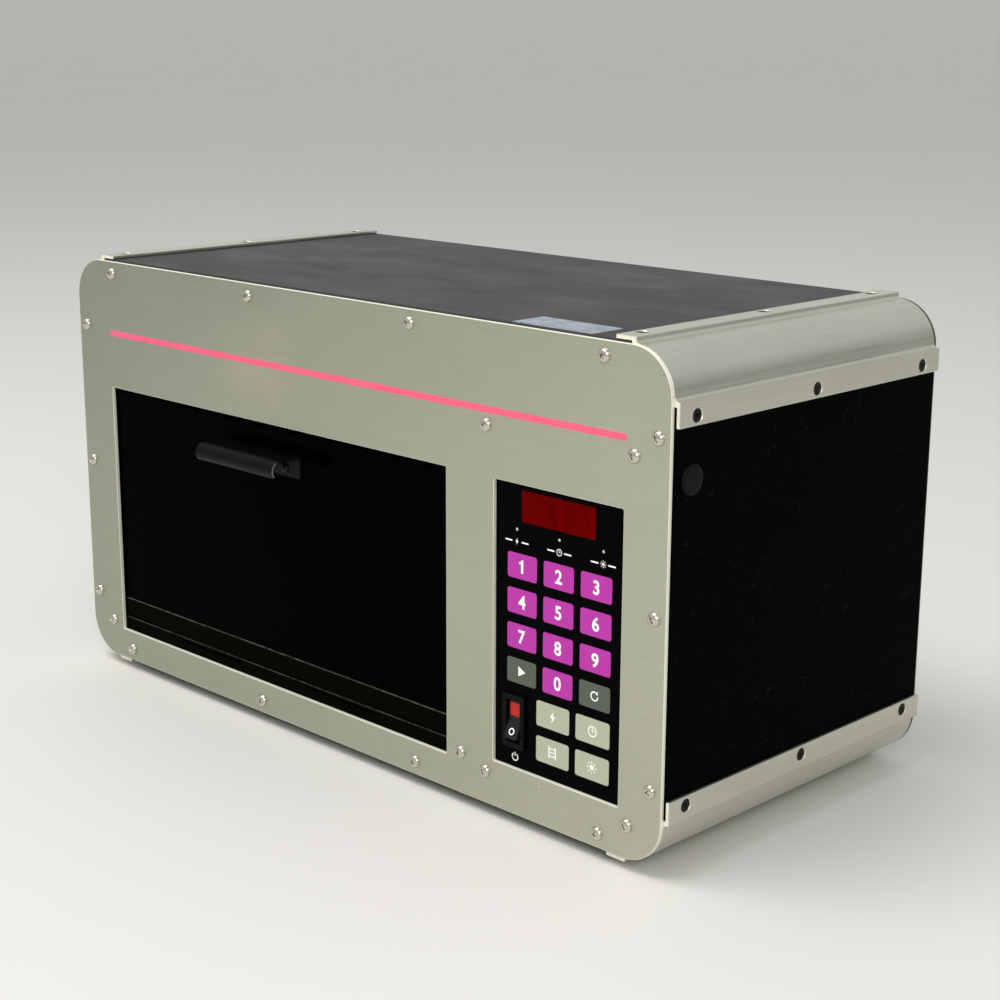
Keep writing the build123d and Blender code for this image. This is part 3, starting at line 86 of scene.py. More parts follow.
def ranged(tree, value, low, high, out_low, out_high, curve="LINEAR"):
    """Value stretched from low..high to out_low..out_high, and held at its ends."""
    names = ("Value", "From Min", "From Max", "To Min", "To Max")
    ends = dict(zip(names, (value, low, high, out_low, out_high)))
    return add_node(tree, "ShaderNodeMapRange", ends, interpolation_type=curve).outputs["Result"]


def maths(tree, first, second, operation):
    return add_node(tree, "ShaderNodeMath", {0: first, 1: second}, operation=operation).outputs["Value"]


MIX_SHARE, MIX_FIRST, MIX_SECOND, MIX_RESULT = 0, 6, 7, 2      # a mix node's sockets for colours


def mixed(tree, share, first, second, blend="MIX"):
    """Colour that goes from the first to the second with the share."""
    ends = {MIX_SHARE: share, MIX_FIRST: first, MIX_SECOND: second}
    return add_node(tree, "ShaderNodeMix", ends, data_type="RGBA", blend_type=blend).outputs[MIX_RESULT]


# ---- finishes
def tone(red, green, blue):
    """Colour given on a 0 to 255 display scale, as the linear values that shaders take."""
    linear = [c / 255 / 12.92 if c <= 10 else ((c / 255 + 0.055) / 1.055) ** 2.4 for c in (red, green, blue)]
    return (*linear, 1.0)


class Finish:
    """One material, with its patterns laid out on the object's own coordinates."""

    def __init__(self, name, colour, roughness, metallic=0.0, specular=0.5):
        self.material = bpy.data.materials.new(name)
        self.material.use_nodes = True
        self.tree = self.material.node_tree
        self.shader = self.tree.nodes["Principled BSDF"]
        self.place = add_node(self.tree, "ShaderNodeTexCoord").outputs["Object"]
        self.base = colour
        self.normal = None
        for socket, value in (("Base Color", colour), ("Roughness", roughness), ("Metallic", metallic),
                              ("Specular IOR Level", specular)):
            self.constant(socket, value)

    def constant(self, socket, value):
        self.shader.inputs[socket].default_value = value

    def link(self, source, socket):
        self.tree.links.new(source, self.shader.inputs[socket])

    def paint(self, share, first, second):
        """Base colour that goes from the first to the second with the share."""
        self.base = mixed(self.tree, share, first, second)
        self.link(self.base, "Base Color")

    def polish(self, value, low, high, smoother, rougher):
        self.link(self.between(value, low, high, smoother, rougher), "Roughness")

    def pattern(self, kind, size, **settings):
        """Texture node whose grains have that size in millimetres along X, Y and Z."""
        scale = [1 / (s * MM) for s in size]
        mapping = add_node(self.tree, "ShaderNodeMapping", {"Scale": scale, "Vector": self.place})
        inputs = {"Scale": 1.0, **settings, "Vector": mapping.outputs["Vector"]}
        return add_node(self.tree, kind, inputs)

    def grain(self, size, detail=2.0, distortion=0.0):
        """Noise from 0 to 1."""
        return self.pattern("ShaderNodeTexNoise", size, Detail=detail, Distortion=distortion).outputs["Fac"]

    def specks(self, size):
        """Distance to the nearest of scattered points."""
        return self.pattern("ShaderNodeTexVoronoi", size).outputs["Distance"]

    def between(self, value, low, high, out_low=0.0, out_high=1.0):
        return ranged(self.tree, value, low, high, out_low, out_high)

    def times(self, first, second):
        return maths(self.tree, first, second, "MULTIPLY")

    def sum(self, first, second):
        return maths(self.tree, first, second, "ADD")

    def relief(self, height, depth):
        """Bump of that depth in millimetres, laid over any bump before it."""
        inputs = {"Strength": 1.0, "Distance": depth * MM, "Height": height}
        if self.normal:
            inputs["Normal"] = self.normal
        self.normal = add_node(self.tree, "ShaderNodeBump", inputs).outputs["Normal"]
        self.link(self.normal, "Normal")

    def split(self):
        """Outputs X, Y and Z of the place on the object, in metres."""
        return add_node(self.tree, "ShaderNodeSeparateXYZ", {"Vector": self.place}).outputs

    def patch(self, u0, u1, v0, v1, soft):
        """Share from 0 to 1 that is full inside a box on the front, and fades over so many millimetres."""
        place = self.split()
        low, high = at(u0, 0, v0), at(u1, 0, v1)
        share = None
        for axis, a, b in (("X", low.x, high.x), ("Z", low.z, high.z)):
            for start, end in ((a - soft * MM, a), (b + soft * MM, b)):
                part = self.between(place[axis], start, end)
                share = part if share is None else self.times(share, part)
        return share


def brushed(name, dark, light, along, roughness=(0.34, 0.46), fine=0.35, stretch=22.0):
    """Brushed or drawn aluminium: fine short lines along one axis over a faint cloudiness."""
    finish = Finish(name, light, 0.4, metallic=1.0)
    across = [fine, fine, fine]
    across["XYZ".index(along)] = stretch
    lines = finish.grain(across, detail=3.0)
    cloud = finish.grain((55, 55, 55), detail=4.0)
    share = finish.sum(finish.times(lines, 0.7), finish.times(cloud, 0.3))
    finish.paint(finish.between(share, 0.3, 0.7), dark, light)
    finish.polish(share, 0.35, 0.65, *roughness)
    finish.relief(lines, 0.004)
    return finish


def make_front_metal():
    """Front plate's brushed face: painted shade darker to the left, a warm rubbed patch, small scuffs below
    the keypad.
    """
    finish = brushed("brushed_front", tone(185, 187, 169), tone(199, 201, 184), "X")
    scuff = finish.between(finish.specks((3.1, 3.1, 2.2)), 0.10, 0.16, 1.0, 0.0)
    rare = finish.between(finish.grain((9, 9, 6)), 0.55, 0.60)
    place = finish.patch(345, 415, 13, 21, 3)
    share = finish.times(finish.times(scuff, rare), place)
    rubbed = finish.patch(158, 172, 188, 194, 34)
    streak = finish.between(finish.grain((40, 9, 9), detail=3.0), 0.3, 0.75, 0.1, 0.6)
    warm = mixed(finish.tree, finish.times(rubbed, streak), finish.base, tone(222, 216, 192))
    marked = mixed(finish.tree, share, warm, tone(250, 250, 240))
    # Painted shade: the whole face is multiplied darker towards the left, where less light falls on it.
    across = finish.between(finish.split()["X"], at(0, 0, 0).x, at(CASE_WIDTH, 0, 0).x)
    shade = mixed(finish.tree, across, tone(222, 223, 222), tone(252, 252, 251))
    finish.link(mixed(finish.tree, 1.0, marked, shade, "MULTIPLY"), "Base Color")
    return finish


def make_cut_edge():
    """Bare sawn edges of the aluminium, painted lighter and creamier as a highlight where they catch the
    light.
    """
    finish = Finish("cut_aluminium_highlight", tone(236, 236, 218), 0.5, metallic=0.35)
    finish.paint(finish.grain((6, 0.4, 6)), tone(224, 224, 206), tone(246, 246, 230))
    return finish


def make_rail_metal():
    """Extruded rails: draw lines along their length and faint handling marks."""
    finish = brushed("drawn_rail", tone(200, 200, 187), tone(214, 214, 201), "Y", (0.36, 0.46), stretch=60.0)
    marks = finish.between(finish.grain((1.6, 9, 1.6), detail=3.0, distortion=1.0), 0.66, 0.72, 0.0, 0.3)
    finish.paint(marks, finish.base, tone(168, 168, 156))
    return finish


def powder(name, dark, light, roughness, specular=0.4, streak=(120, 18, 120)):
    """Powder coat: fine orange peel, wiped streaks and a little dust."""
    finish = Finish(name, dark, roughness, specular=specular)
    wiped = finish.grain(streak, detail=4.0, distortion=0.4)
    dust = finish.grain((1.6, 1.6, 1.6), detail=4.0)
    share = finish.sum(finish.between(wiped, 0.35, 0.75, 0.0, 0.7), finish.between(dust, 0.5, 0.8, 0.0, 0.5))
    finish.paint(share, dark, light)
    finish.polish(wiped, 0.35, 0.7, roughness - 0.06, roughness + 0.08)
    finish.relief(finish.grain((0.7, 0.7, 0.7), detail=2.0), 0.02)
    return finish


def make_side_black():
    """Black side sheets, with faint rubbed marks."""
    finish = powder("black_side", tone(2, 2, 2), tone(6, 6, 6), 0.5, specular=0.008, streak=(60, 60, 25))
    marks = finish.between(finish.grain((14, 9, 5), detail=6.0, distortion=2.2), 0.64, 0.7, 0.0, 0.5)
    finish.paint(marks, finish.base, tone(26, 30, 26))
    return finish


def plastic(name, colour, roughness, specular=0.5, peel=0.5, depth=0.008, tint=0.12):
    """Moulded plastic or rubber with a fine grain and a slightly uneven colour."""
    finish = Finish(name, colour, roughness, specular=specular)
    darker = [c * (1 - tint) for c in colour[:3]] + [1.0]
    lighter = [min(1.0, c * (1 + tint)) for c in colour[:3]] + [1.0]
    cloud = finish.grain((9, 9, 9), detail=3.0)
    finish.paint(finish.between(cloud, 0.3, 0.7), darker, lighter)
    finish.polish(cloud, 0.3, 0.7, roughness - 0.03, roughness + 0.05)
    finish.relief(finish.grain((peel, peel, peel)), depth)
    return finish


def metal(name, colour, roughness, grain=(0.5, 0.5, 0.5), depth=0.006, spread=0.08):
    """Plain metal with light wear."""
    finish = Finish(name, colour, roughness, metallic=1.0)
    wear = finish.grain(grain, detail=4.0)
    darker = [c * (1 - spread * 2) for c in colour[:3]] + [1.0]
    finish.paint(finish.between(wear, 0.35, 0.65), darker, colour)
    finish.polish(finish.grain((5, 5, 5), detail=3.0), 0.3, 0.7, roughness - 0.05, roughness + 0.08)
    finish.relief(wear, depth)
    return finish


def make_hinge_black():
    """Brown-black hinge, with painted highlights, broken into spots, along the leaf's upper edge and along
    the knuckles.
    """
    finish = powder("dark_hinge", tone(4, 4, 2), tone(9, 8, 5), 0.5, specular=0.006, streak=(50, 3, 3))
    spots = finish.between(finish.grain((4, 1, 1), detail=3.0), 0.35, 0.62, 0.25, 1.0)
    # Painted highlights: thin lighter lines where the leaf's upper edge and the top of the knuckles catch the
    # light.
    edge = finish.patch(31, 306.2, 36.6, 37.1, 0.12)
    knuckles = finish.patch(31, 306.2, 24.9, 25.3, 0.12)
    lines = finish.sum(edge, finish.times(knuckles, 0.7))
    finish.paint(finish.times(lines, spots), finish.base, tone(84, 80, 68))
    return finish


def make_gloss_door():
    """Gloss black ultraviolet-blocking acrylic, with hairline wiping marks."""
    finish = Finish("black_acrylic", tone(1, 1, 2), 0.06, specular=0.006)
    wipes = finish.grain((90, 1.5, 1.2), detail=5.0, distortion=0.6)
    finish.polish(wipes, 0.4, 0.8, 0.05, 0.16)
    finish.paint(finish.between(wipes, 0.62, 0.8, 0.0, 0.4), tone(1, 1, 1), tone(4, 4, 5))
    finish.relief(finish.grain((45, 45, 45), detail=1.0), 0.05)
    return finish


def make_handle_end():
    """The handle's sawn ends: a painted highlight along the rolled lip at the front, nearly black behind it.
    """
    finish = Finish("handle_end_highlight", tone(20, 20, 20), 0.4, specular=0.05)
    front = span("door_handle")[0].y
    # Painted highlight on the rolled lip's cut end, fading to near black behind it.
    lip = finish.between(finish.split()["Y"], at(0, front + 1.8, 0).y, at(0, front + 4.5, 0).y, 1.0, 0.0)
    finish.paint(lip, tone(15, 16, 15), tone(112, 114, 108))
    return finish


def make_red_window():
    """Deep red filter with the unlit digits' faint upright bars behind it."""
    finish = Finish("red_filter", tone(98, 1, 1), 0.14, specular=0.006)
    bars = finish.grain((1.3, 1.3, 22), detail=2.0)
    finish.paint(finish.between(bars, 0.3, 0.7), tone(84, 0, 0), tone(104, 1, 2))
    return finish


def make_quartz():
    """Clear quartz lamp tube."""
    finish = Finish("quartz", tone(236, 242, 250), 0.05)
    finish.constant("Transmission Weight", 0.9)
    finish.constant("IOR", 1.2)
    finish.polish(finish.grain((120, 6, 6), detail=2.0), 0.3, 0.8, 0.03, 0.2)
    return finish


def make_foil():
    """Blank silvery foil patch."""
    finish = Finish("blank_foil", tone(176, 186, 200), 0.38, metallic=0.7)
    crease = finish.grain((9, 5, 5), detail=5.0, distortion=1.4)
    finish.paint(finish.between(crease, 0.3, 0.7), tone(124, 136, 152), tone(188, 197, 210))
    finish.polish(crease, 0.3, 0.7, 0.25, 0.5)
    finish.relief(crease, 0.06)
    return finish


# In order: end plates and rails, sheets, screws and feet, chamber, door and hinge, keypad, inner pieces.
front_metal = make_front_metal()
# Cut edges of the plates and rails are painted lighter as a highlight.
lit_cut_edge = make_cut_edge()
rail_metal = make_rail_metal()
back_metal = brushed("brushed_back", tone(172, 174, 160), tone(188, 190, 176), "X")
# The back plate's edges are given a darker grey than its brushed faces.
back_edge = metal("dark_back_edge", tone(96, 96, 88), 0.5)
# Same black powder coat as the sides, its colour painted lighter grey as sheen where the top catches the
# light at a low angle.
top_black_painted_sheen = powder("black_top_painted_sheen", tone(30, 31, 31), tone(36, 37, 38), 0.5, specular=0.34, streak=(45, 30, 45))
side_black = make_side_black()
door_black = make_gloss_door()
screw_metal = metal("nickel_screw", tone(208, 206, 192), 0.17)
dark_screw = metal("black_oxide", tone(44, 42, 40), 0.42)
plug_black = plastic("black_nylon", tone(14, 17, 15), 0.42, specular=0.07)
rubber = plastic("foot_rubber", tone(26, 26, 26), 0.75, specular=0.3, peel=0.9, depth=0.03)
liner_metal = brushed("bright_liner", tone(196, 200, 204), tone(222, 226, 230), "X", (0.22, 0.36))
mirror_metal = brushed("polished_reflector", tone(214, 218, 224), tone(236, 240, 246), "X", (0.08, 0.18))
quartz = make_quartz()
cap_metal = metal("spun_cap", tone(196, 196, 194), 0.3)
white_plastic = plastic("white_moulding", tone(226, 226, 218), 0.4, tint=0.04)
sensor_steel = metal("turned_steel", tone(176, 176, 174), 0.28)
frame_black = powder("black_frame", tone(7, 6, 5), tone(12, 11, 9), 0.5, specular=0.03)
foam = plastic("black_foam", tone(24, 24, 24), 0.9, specular=0.2, peel=1.2, depth=0.12)
catch_black = plastic("black_moulding", tone(30, 30, 31), 0.45)
hinge_metal = make_hinge_black()
steel = metal("bare_steel", tone(150, 150, 148), 0.32, grain=(8, 0.5, 0.5))
handle_black = plastic("handle_moulding", tone(3, 3, 3), 0.34, specular=0.09, peel=0.8, depth=0.012)
lit_handle_end = make_handle_end()
film_black = plastic("keypad_film", tone(3, 3, 4), 0.22, specular=0.015, peel=0.6, depth=0.003)
key_coat = dict(peel=0.4, depth=0.006, tint=0.03)
key_purple = plastic("purple_key", tone(178, 46, 162), 0.42, specular=0.3, **key_coat)
key_dark = plastic("dark_grey_key", tone(84, 91, 81), 0.42, specular=0.2, **key_coat)
key_light = plastic("light_grey_key", tone(174, 178, 156), 0.42, specular=0.25, **key_coat)
ink_white = plastic("white_ink", tone(244, 245, 240), 0.5, specular=0.3, tint=0.02)
ink_pink = plastic("pink_ink", tone(238, 95, 130), 0.42, specular=0.35, tint=0.03)
red_window = make_red_window()
display_dark = plastic("digit_face", tone(40, 24, 24), 0.3)
lens_clear = plastic("led_lens", tone(188, 178, 168), 0.2, depth=0.0)
led_red = plastic("red_epoxy", tone(150, 20, 16), 0.2)
switch_black = plastic("switch_nylon", tone(4, 4, 4), 0.3, specular=0.07)
rocker_grey = plastic("rocker_nylon", tone(24, 26, 24), 0.3, specular=0.2)
flag_red = plastic("red_flag", tone(184, 24, 12), 0.3, specular=0.35, tint=0.1)
zinc = metal("zinc_plate", tone(168, 168, 164), 0.4, grain=(6, 6, 6))
mill_metal = brushed("mill_aluminium", tone(176, 176, 174), tone(198, 198, 196), "Z", (0.4, 0.5))
enamel = plastic("grey_enamel", tone(178, 178, 174), 0.35)
laminations = brushed("laminations", tone(70, 70, 74), tone(104, 104, 108), "X", (0.4, 0.55), fine=0.5)
tape = plastic("yellow_tape", tone(206, 176, 84), 0.5)
solder_mask = plastic("green_board", tone(28, 92, 52), 0.3, tint=0.2)
relay_black = plastic("relay_case", tone(36, 36, 38), 0.4)
brass = metal("brass", tone(204, 176, 104), 0.3)
tail_film = plastic("tail_film", tone(206, 200, 176), 0.2)
inlet_black = plastic("inlet_moulding", tone(22, 22, 22), 0.4)
foil = make_foil()


# ---- mesh tools
def link(obj):
    scene.collection.objects.link(obj)
    return obj


def drop(obj):
    """Remove a helper object and its own data."""
    data = obj.data
    bpy.data.objects.remove(obj)
    if isinstance(data, bpy.types.Curve):
        bpy.data.curves.remove(data)
    elif data.users == 0:
        bpy.data.meshes.remove(data)


def baked(obj):
    """Plain mesh of an object as it is evaluated, the object itself removed."""
    bpy.context.view_layer.update()
    seen = obj.evaluated_get(bpy.context.evaluated_depsgraph_get())
    mesh = bpy.data.meshes.new_from_object(seen)
    drop(obj)
    return mesh


def held(mesh, kind, **settings):
    """Helper object with the mesh and one modifier."""
    holder = link(bpy.data.objects.new("helper", mesh))
    modifier = holder.modifiers.new("shape", kind)
    for key, value in settings.items():
        setattr(modifier, key, value)
    return holder


def filled(shape, name):
    """Mesh of the shape's own data, which is freed."""
    mesh = bpy.data.meshes.new(name)
    shape.to_mesh(mesh)
    shape.free()
    return mesh


def cleaned(mesh):
    """The mesh with its doubles merged."""
    shape = bmesh.new()
    shape.from_mesh(mesh)
    bmesh.ops.remove_doubles(shape, verts=shape.verts, dist=WELD)
    shape.to_mesh(mesh)
    shape.free()
    return mesh


def smooth(mesh, angle=35):
    """Smooth shading, with edges sharper than the angle kept sharp."""
    mesh.shade_smooth()
    mesh.set_sharp_from_angle(angle=math.radians(angle))
    return mesh


def piece(mesh, node, name=None, body="case", replaces=True):
    """A finished piece that rides on a body and, unless it only adds, takes a CAD node's place.

    Its corner normals are weighted by face, so that flat sheets stay flat beside their softened rims.
    """
    mesh = baked(held(mesh, "WEIGHTED_NORMAL", keep_sharp=True))
    obj = link(bpy.data.objects.new(name or node + "_dressed", mesh))
    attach(obj, body)
    if replaces:
        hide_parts(node)


def painted(mesh, *finishes):
    mesh.materials.clear()
    for finish in finishes:
        mesh.materials.append(finish.material)
    return mesh


def joined(*meshes):
    """One mesh of several, without a finish."""
    shape = bmesh.new()
    for mesh in meshes:
        shape.from_mesh(mesh)
    return filled(shape, "joined")


WELD = 0.002 * MM
# Turns a flat outline drawn in x and y, with its thickness along z, to face the front, the side or up.
FACING = {
    "front": Matrix(((1, 0, 0), (0, 0, -1), (0, 1, 0))),
    "side": Matrix(((0, 0, 1), (1, 0, 0), (0, 1, 0))),
    "up": Matrix(((1, 0, 0), (0, 1, 0), (0, 0, 1))),
}


def slab(loops, facing, place, thickness, bevel=0.2, rounds=2):
    """Plate or bar from closed outlines, holes among them, with its two rims rounded.

    Outlines are in millimetres about the middle place, which is in metres.
    """
    curve = bpy.data.curves.new("outline", "CURVE")
    curve.dimensions = "2D"
    curve.fill_mode = "BOTH"
    curve.extrude = (thickness / 2 - bevel) * MM
    curve.bevel_depth = bevel * MM
    curve.bevel_resolution = rounds
    curve.offset = -bevel * MM
    for loop in loops:
        spline = curve.splines.new("POLY")
        spline.points.add(len(loop) - 1)
        for point, (x, y) in zip(spline.points, loop):
            point.co = (x * MM, y * MM, 0, 1)
        spline.use_cyclic_u = True
    mesh = cleaned(baked(link(bpy.data.objects.new("outline", curve))))
    mesh.transform(Matrix.Translation(place) @ FACING[facing].to_4x4())
    return smooth(mesh)


def arc(x, y, radius, start, end, count):
    """Points along an arc, angles in degrees."""
    angles = [math.radians(start + (end - start) * i / count) for i in range(count + 1)]
    return [(x + radius * math.cos(angle), y + radius * math.sin(angle)) for angle in angles]


def rounded(x0, x1, y0, y1, radius, count=8):
    """Rectangle with rounded corners."""
    points = []
    for x, y, start in ((x1 - radius, y1 - radius, 0), (x0 + radius, y1 - radius, 90),
                        (x0 + radius, y0 + radius, 180), (x1 - radius, y0 + radius, 270)):
        points += arc(x, y, radius, start, start + 90, count)
    return points


def front_slab(loops, d0, d1, bevel=0.2, rounds=2):
    """Slab that faces the front, its outlines given in u and v."""
    return slab(loops, "front", at(0, (d0 + d1) / 2, 0), d1 - d0, bevel, rounds)


def side_bar(loops, u0, u1, bevel=0.2, rounds=2):
    """Bar along u, its outlines given in d and v."""
    return slab(loops, "side", at((u0 + u1) / 2, 0, 0), u1 - u0, bevel, rounds)


RIGHT, LEFT, UP, DOWN, BACK = (1, 0, 0), (-1, 0, 0), (0, 0, 1), (0, 0, -1), (0, 1, 0)


def lathe(profile, place, axis, sides=40):
    """Round piece: profile of (radius, height) in millimetres, closed at both ends, along an axis."""
    shape = bmesh.new()
    rings = []
    for radius, height in profile:
        if radius == 0:
            rings.append([shape.verts.new((0, 0, height * MM))])
            continue
        turns = [2 * math.pi * i / sides for i in range(sides)]
        rings.append([shape.verts.new((radius * MM * math.cos(t), radius * MM * math.sin(t), height * MM))
                      for t in turns])
    for near, far in zip(rings[:-1], rings[1:]):
        for i in range(sides):
            j = (i + 1) % sides
            corners = [near[i % len(near)], near[j % len(near)], far[j % len(far)], far[i % len(far)]]
            corners = list(dict.fromkeys(corners))
            if len(corners) > 2:
                shape.faces.new(corners)
    bmesh.ops.recalc_face_normals(shape, faces=shape.faces)
    mesh = filled(shape, "lathe")
    turn = Vector(UP).rotation_difference(Vector(axis)).to_matrix().to_4x4()
    mesh.transform(Matrix.Translation(place) @ turn)
    return smooth(mesh)


def pin_profile(radius, length, rim=0.3):
    """Profile of a rod with softened ends."""
    return [(0, 0), (radius - rim, 0), (radius - rim * 0.3, rim * 0.3), (radius, rim), (radius, length - rim),
            (radius - rim * 0.3, length - rim * 0.3), (radius - rim, length), (0, length)]


def eased(node, bevel, rounds=2):
    """Copy of a CAD node's shape with its sharp edges softened."""
    mesh = nodes[node].data.copy()
    shape = bmesh.new()
    shape.from_mesh(mesh)
    bmesh.ops.remove_doubles(shape, verts=shape.verts, dist=WELD)
    bmesh.ops.dissolve_limit(shape, angle_limit=math.radians(1), verts=shape.verts, edges=shape.edges)
    shape.to_mesh(mesh)
    shape.free()
    holder = held(mesh, "BEVEL", width=bevel * MM, segments=rounds, limit_method="ANGLE",
                  angle_limit=math.radians(30), harden_normals=False)
    return smooth(baked(holder), 40)


def soften(node, finish, bevel, rounds=2, body="case"):
    """Finished piece from a CAD node's own shape with softened edges."""
    piece(painted(eased(node, bevel, rounds), finish), node, body=body)


def cut_from(mesh, cutter):
    """The mesh less the cutter's shape."""
    tool = link(bpy.data.objects.new("cutter", cutter))
    result = baked(held(mesh, "BOOLEAN", operation="DIFFERENCE", solver="EXACT", object=tool))
    drop(tool)
    return smooth(cleaned(result))


def edges_of(mesh, axis, face, edge):
    """The mesh with one finish on what faces along an axis, and another on its cut edges."""
    painted(mesh, face, edge)
    for polygon in mesh.polygons:
        polygon.material_index = 0 if abs(polygon.normal["XYZ".index(axis)]) > 0.99 else 1
    return mesh


def dress(node, finish):
    """Give a CAD node that stays a finish."""
    for slot in nodes[node].material_slots:
        slot.material = finish.material


# ---- geometry trees for what repeats
class Tree:
    """Geometry node tree that works on a mesh of points, with inputs given by name and kind."""

    def __init__(self, name, **inputs):
        self.group = bpy.data.node_groups.new(name, "GeometryNodeTree")
        for way in ("INPUT", "OUTPUT"):
            self.group.interface.new_socket("Geometry", in_out=way, socket_type="NodeSocketGeometry")
        self.names = {}
        for socket, kind in inputs.items():
            made = self.group.interface.new_socket(socket, in_out="INPUT", socket_type="NodeSocket" + kind)
            self.names[socket] = made.identifier
        self.given = self.node("NodeGroupInput").outputs

    def node(self, kind, inputs=(), **settings):
        return add_node(self.group, kind, inputs, **settings)

    def finish(self, instances):
        """Make the instances real, give them the material and put them out."""
        whole = self.node("GeometryNodeRealizeInstances", {"Geometry": instances})
        coat = self.node("GeometryNodeSetMaterial", {"Geometry": whole.outputs["Geometry"],
                                                     "Material": self.given["Material"]})
        self.node("NodeGroupOutput", {"Geometry": coat.outputs["Geometry"]})
        return self

    def run(self, places, finish, **values):
        """Plain mesh that the tree makes from the places."""
        mesh = bpy.data.meshes.new("points")
        mesh.from_pydata([tuple(place) for place in places], [], [])
        holder = held(mesh, "NODES", node_group=self.group)
        for name, value in {**values, "Material": finish.material}.items():
            holder.modifiers[0][self.names[name]] = value
        made = baked(holder)
        made.polygons.foreach_set("material_index", [0] * len(made.polygons))
        return smooth(painted(made, finish))


def make_screw_tree():
    """Sets a copy of one screw on every point, each turned by chance about its own axis."""
    tree = Tree("screws", Screw="Object", Tilt="Vector", Seed="Int", Material="Material")
    given = tree.given
    info = tree.node("GeometryNodeObjectInfo", {"Object": given["Screw"]}, transform_space="ORIGINAL")
    place = tree.node("GeometryNodeInstanceOnPoints", {
        "Points": given["Geometry"], "Instance": info.outputs["Geometry"], "Rotation": given["Tilt"]})
    chance = tree.node("FunctionNodeRandomValue", data_type="FLOAT")
    chance.inputs[3].default_value = 2 * math.pi
    tree.group.links.new(given["Seed"], chance.inputs["Seed"])
    spin = tree.node("ShaderNodeCombineXYZ", {"Z": [s for s in chance.outputs if s.enabled][0]})
    turn = tree.node("GeometryNodeRotateInstances", {
        "Local Space": True, "Instances": place.outputs["Instances"], "Rotation": spin.outputs["Vector"]})
    return tree.finish(turn.outputs["Instances"])


screw_tree = make_screw_tree()
QUARTER = math.pi / 2
TILT = {"front": (QUARTER, 0.0, 0.0), "back": (-QUARTER, 0.0, 0.0), "up": (0.0, 0.0, 0.0),
        "down": (2 * QUARTER, 0.0, 0.0), "right": (0.0, QUARTER, 0.0), "left": (0.0, -QUARTER, 0.0)}


def screws(places, facing, screw, finish, seed):
    """Mesh of the same screw at every place, its head facing one way."""
    source = link(bpy.data.objects.new("screw", screw.copy()))
    mesh = screw_tree.run(places, finish, Screw=source, Tilt=TILT[facing], Seed=seed)
    drop(source)
    return mesh


def cross_cutter(width, length, depth, top):
    """Tapered cross that cuts a screw's recess, its top a little above that height."""
    w, n = width / 2, length / 2
    outline = []
    for turn in range(4):
        c, k = math.cos(turn * QUARTER), math.sin(turn * QUARTER)
        outline += [(x * c - y * k, x * k + y * c) for x, y in ((n, -w), (n, w), (w, w))]
    shape = bmesh.new()
    rings = []
    for scale, height in ((0.6, top - depth), (1.05, top + 0.4)):
        rings.append([shape.verts.new((x * scale * MM, y * scale * MM, height * MM)) for x, y in outline])
    for i in range(len(outline)):
        j = (i + 1) % len(outline)
        shape.faces.new((rings[0][i], rings[0][j], rings[1][j], rings[1][i]))
    for loop in rings:
        shape.faces.new(loop)
    bmesh.ops.recalc_face_normals(shape, faces=shape.faces)
    return filled(shape, "cross")


SLOT_WIDTH = 0.8


def pan_screw(head_radius, head_height, shank_radius, shank_length):
    """Domed pan head with a cross recess, standing on the surface at height 0."""
    profile = [(0, -shank_length), (shank_radius, -shank_length), (shank_radius, 0)]
    profile += [(head_radius * math.cos(math.radians(t)) ** 0.8, head_height * math.sin(math.radians(t)))
                for t in (0, 12, 24, 36, 48, 60, 72, 82)]
    profile.append((0, head_height))
    body = lathe(profile, Vector(), UP, 32)
    return cut_from(body, cross_cutter(SLOT_WIDTH, head_radius, head_height * 0.5, head_height))


def sunk_screw(head_radius, head_height, shank_radius, shank_length):
    """Flat head with a cross recess, its top at height 0."""
    profile = [(0, -shank_length), (shank_radius, -shank_length), (shank_radius, -head_height),
               (head_radius, -head_height * 0.9), (head_radius, -0.12), (head_radius - 0.15, 0), (0, 0)]
    body = lathe(profile, Vector(), UP, 32)
    return cut_from(body, cross_cutter(SLOT_WIDTH, head_radius * 1.1, head_height * 0.65, 0))


def make_field_tree():
    """Rounded raised field on every point, rising towards the front."""
    tree = Tree("fields", Width="Float", Height="Float", Corner="Float", Rise="Float", Material="Material")
    outline = tree.node("GeometryNodeCurvePrimitiveQuadrilateral", {
        "Width": tree.given["Width"], "Height": tree.given["Height"]})
    fillet = tree.node("GeometryNodeFilletCurve", mode="POLY")
    for socket, value in (("Curve", outline.outputs["Curve"]), ("Radius", tree.given["Corner"])):
        tree.group.links.new(value, fillet.inputs[socket])
    fillet.inputs["Count"].default_value = 6
    fill = tree.node("GeometryNodeFillCurve", {"Curve": fillet.outputs["Curve"]}, mode="NGONS")
    raised = tree.node("GeometryNodeExtrudeMesh", {
        "Individual": False, "Mesh": fill.outputs["Mesh"], "Offset Scale": tree.given["Rise"]})
    under = tree.node("GeometryNodeFlipFaces", {"Mesh": fill.outputs["Mesh"]})
    both = tree.node("GeometryNodeJoinGeometry", {"Geometry": raised.outputs["Mesh"]})
    tree.group.links.new(under.outputs["Mesh"], both.inputs["Geometry"])
    weld = tree.node("GeometryNodeMergeByDistance", {"Distance": WELD, "Geometry": both.outputs["Geometry"]})
    place = tree.node("GeometryNodeInstanceOnPoints", {
        "Rotation": TILT["front"], "Points": tree.given["Geometry"], "Instance": weld.outputs["Geometry"]})
    return tree.finish(place.outputs["Instances"])


field_tree = make_field_tree()


def fields(places, width, height, corner, rise, finish):
    """Mesh of raised key fields at the places, with their sizes in millimetres."""
    return field_tree.run(places, finish, Width=width * MM, Height=height * MM, Corner=corner * MM,
                          Rise=rise * MM)


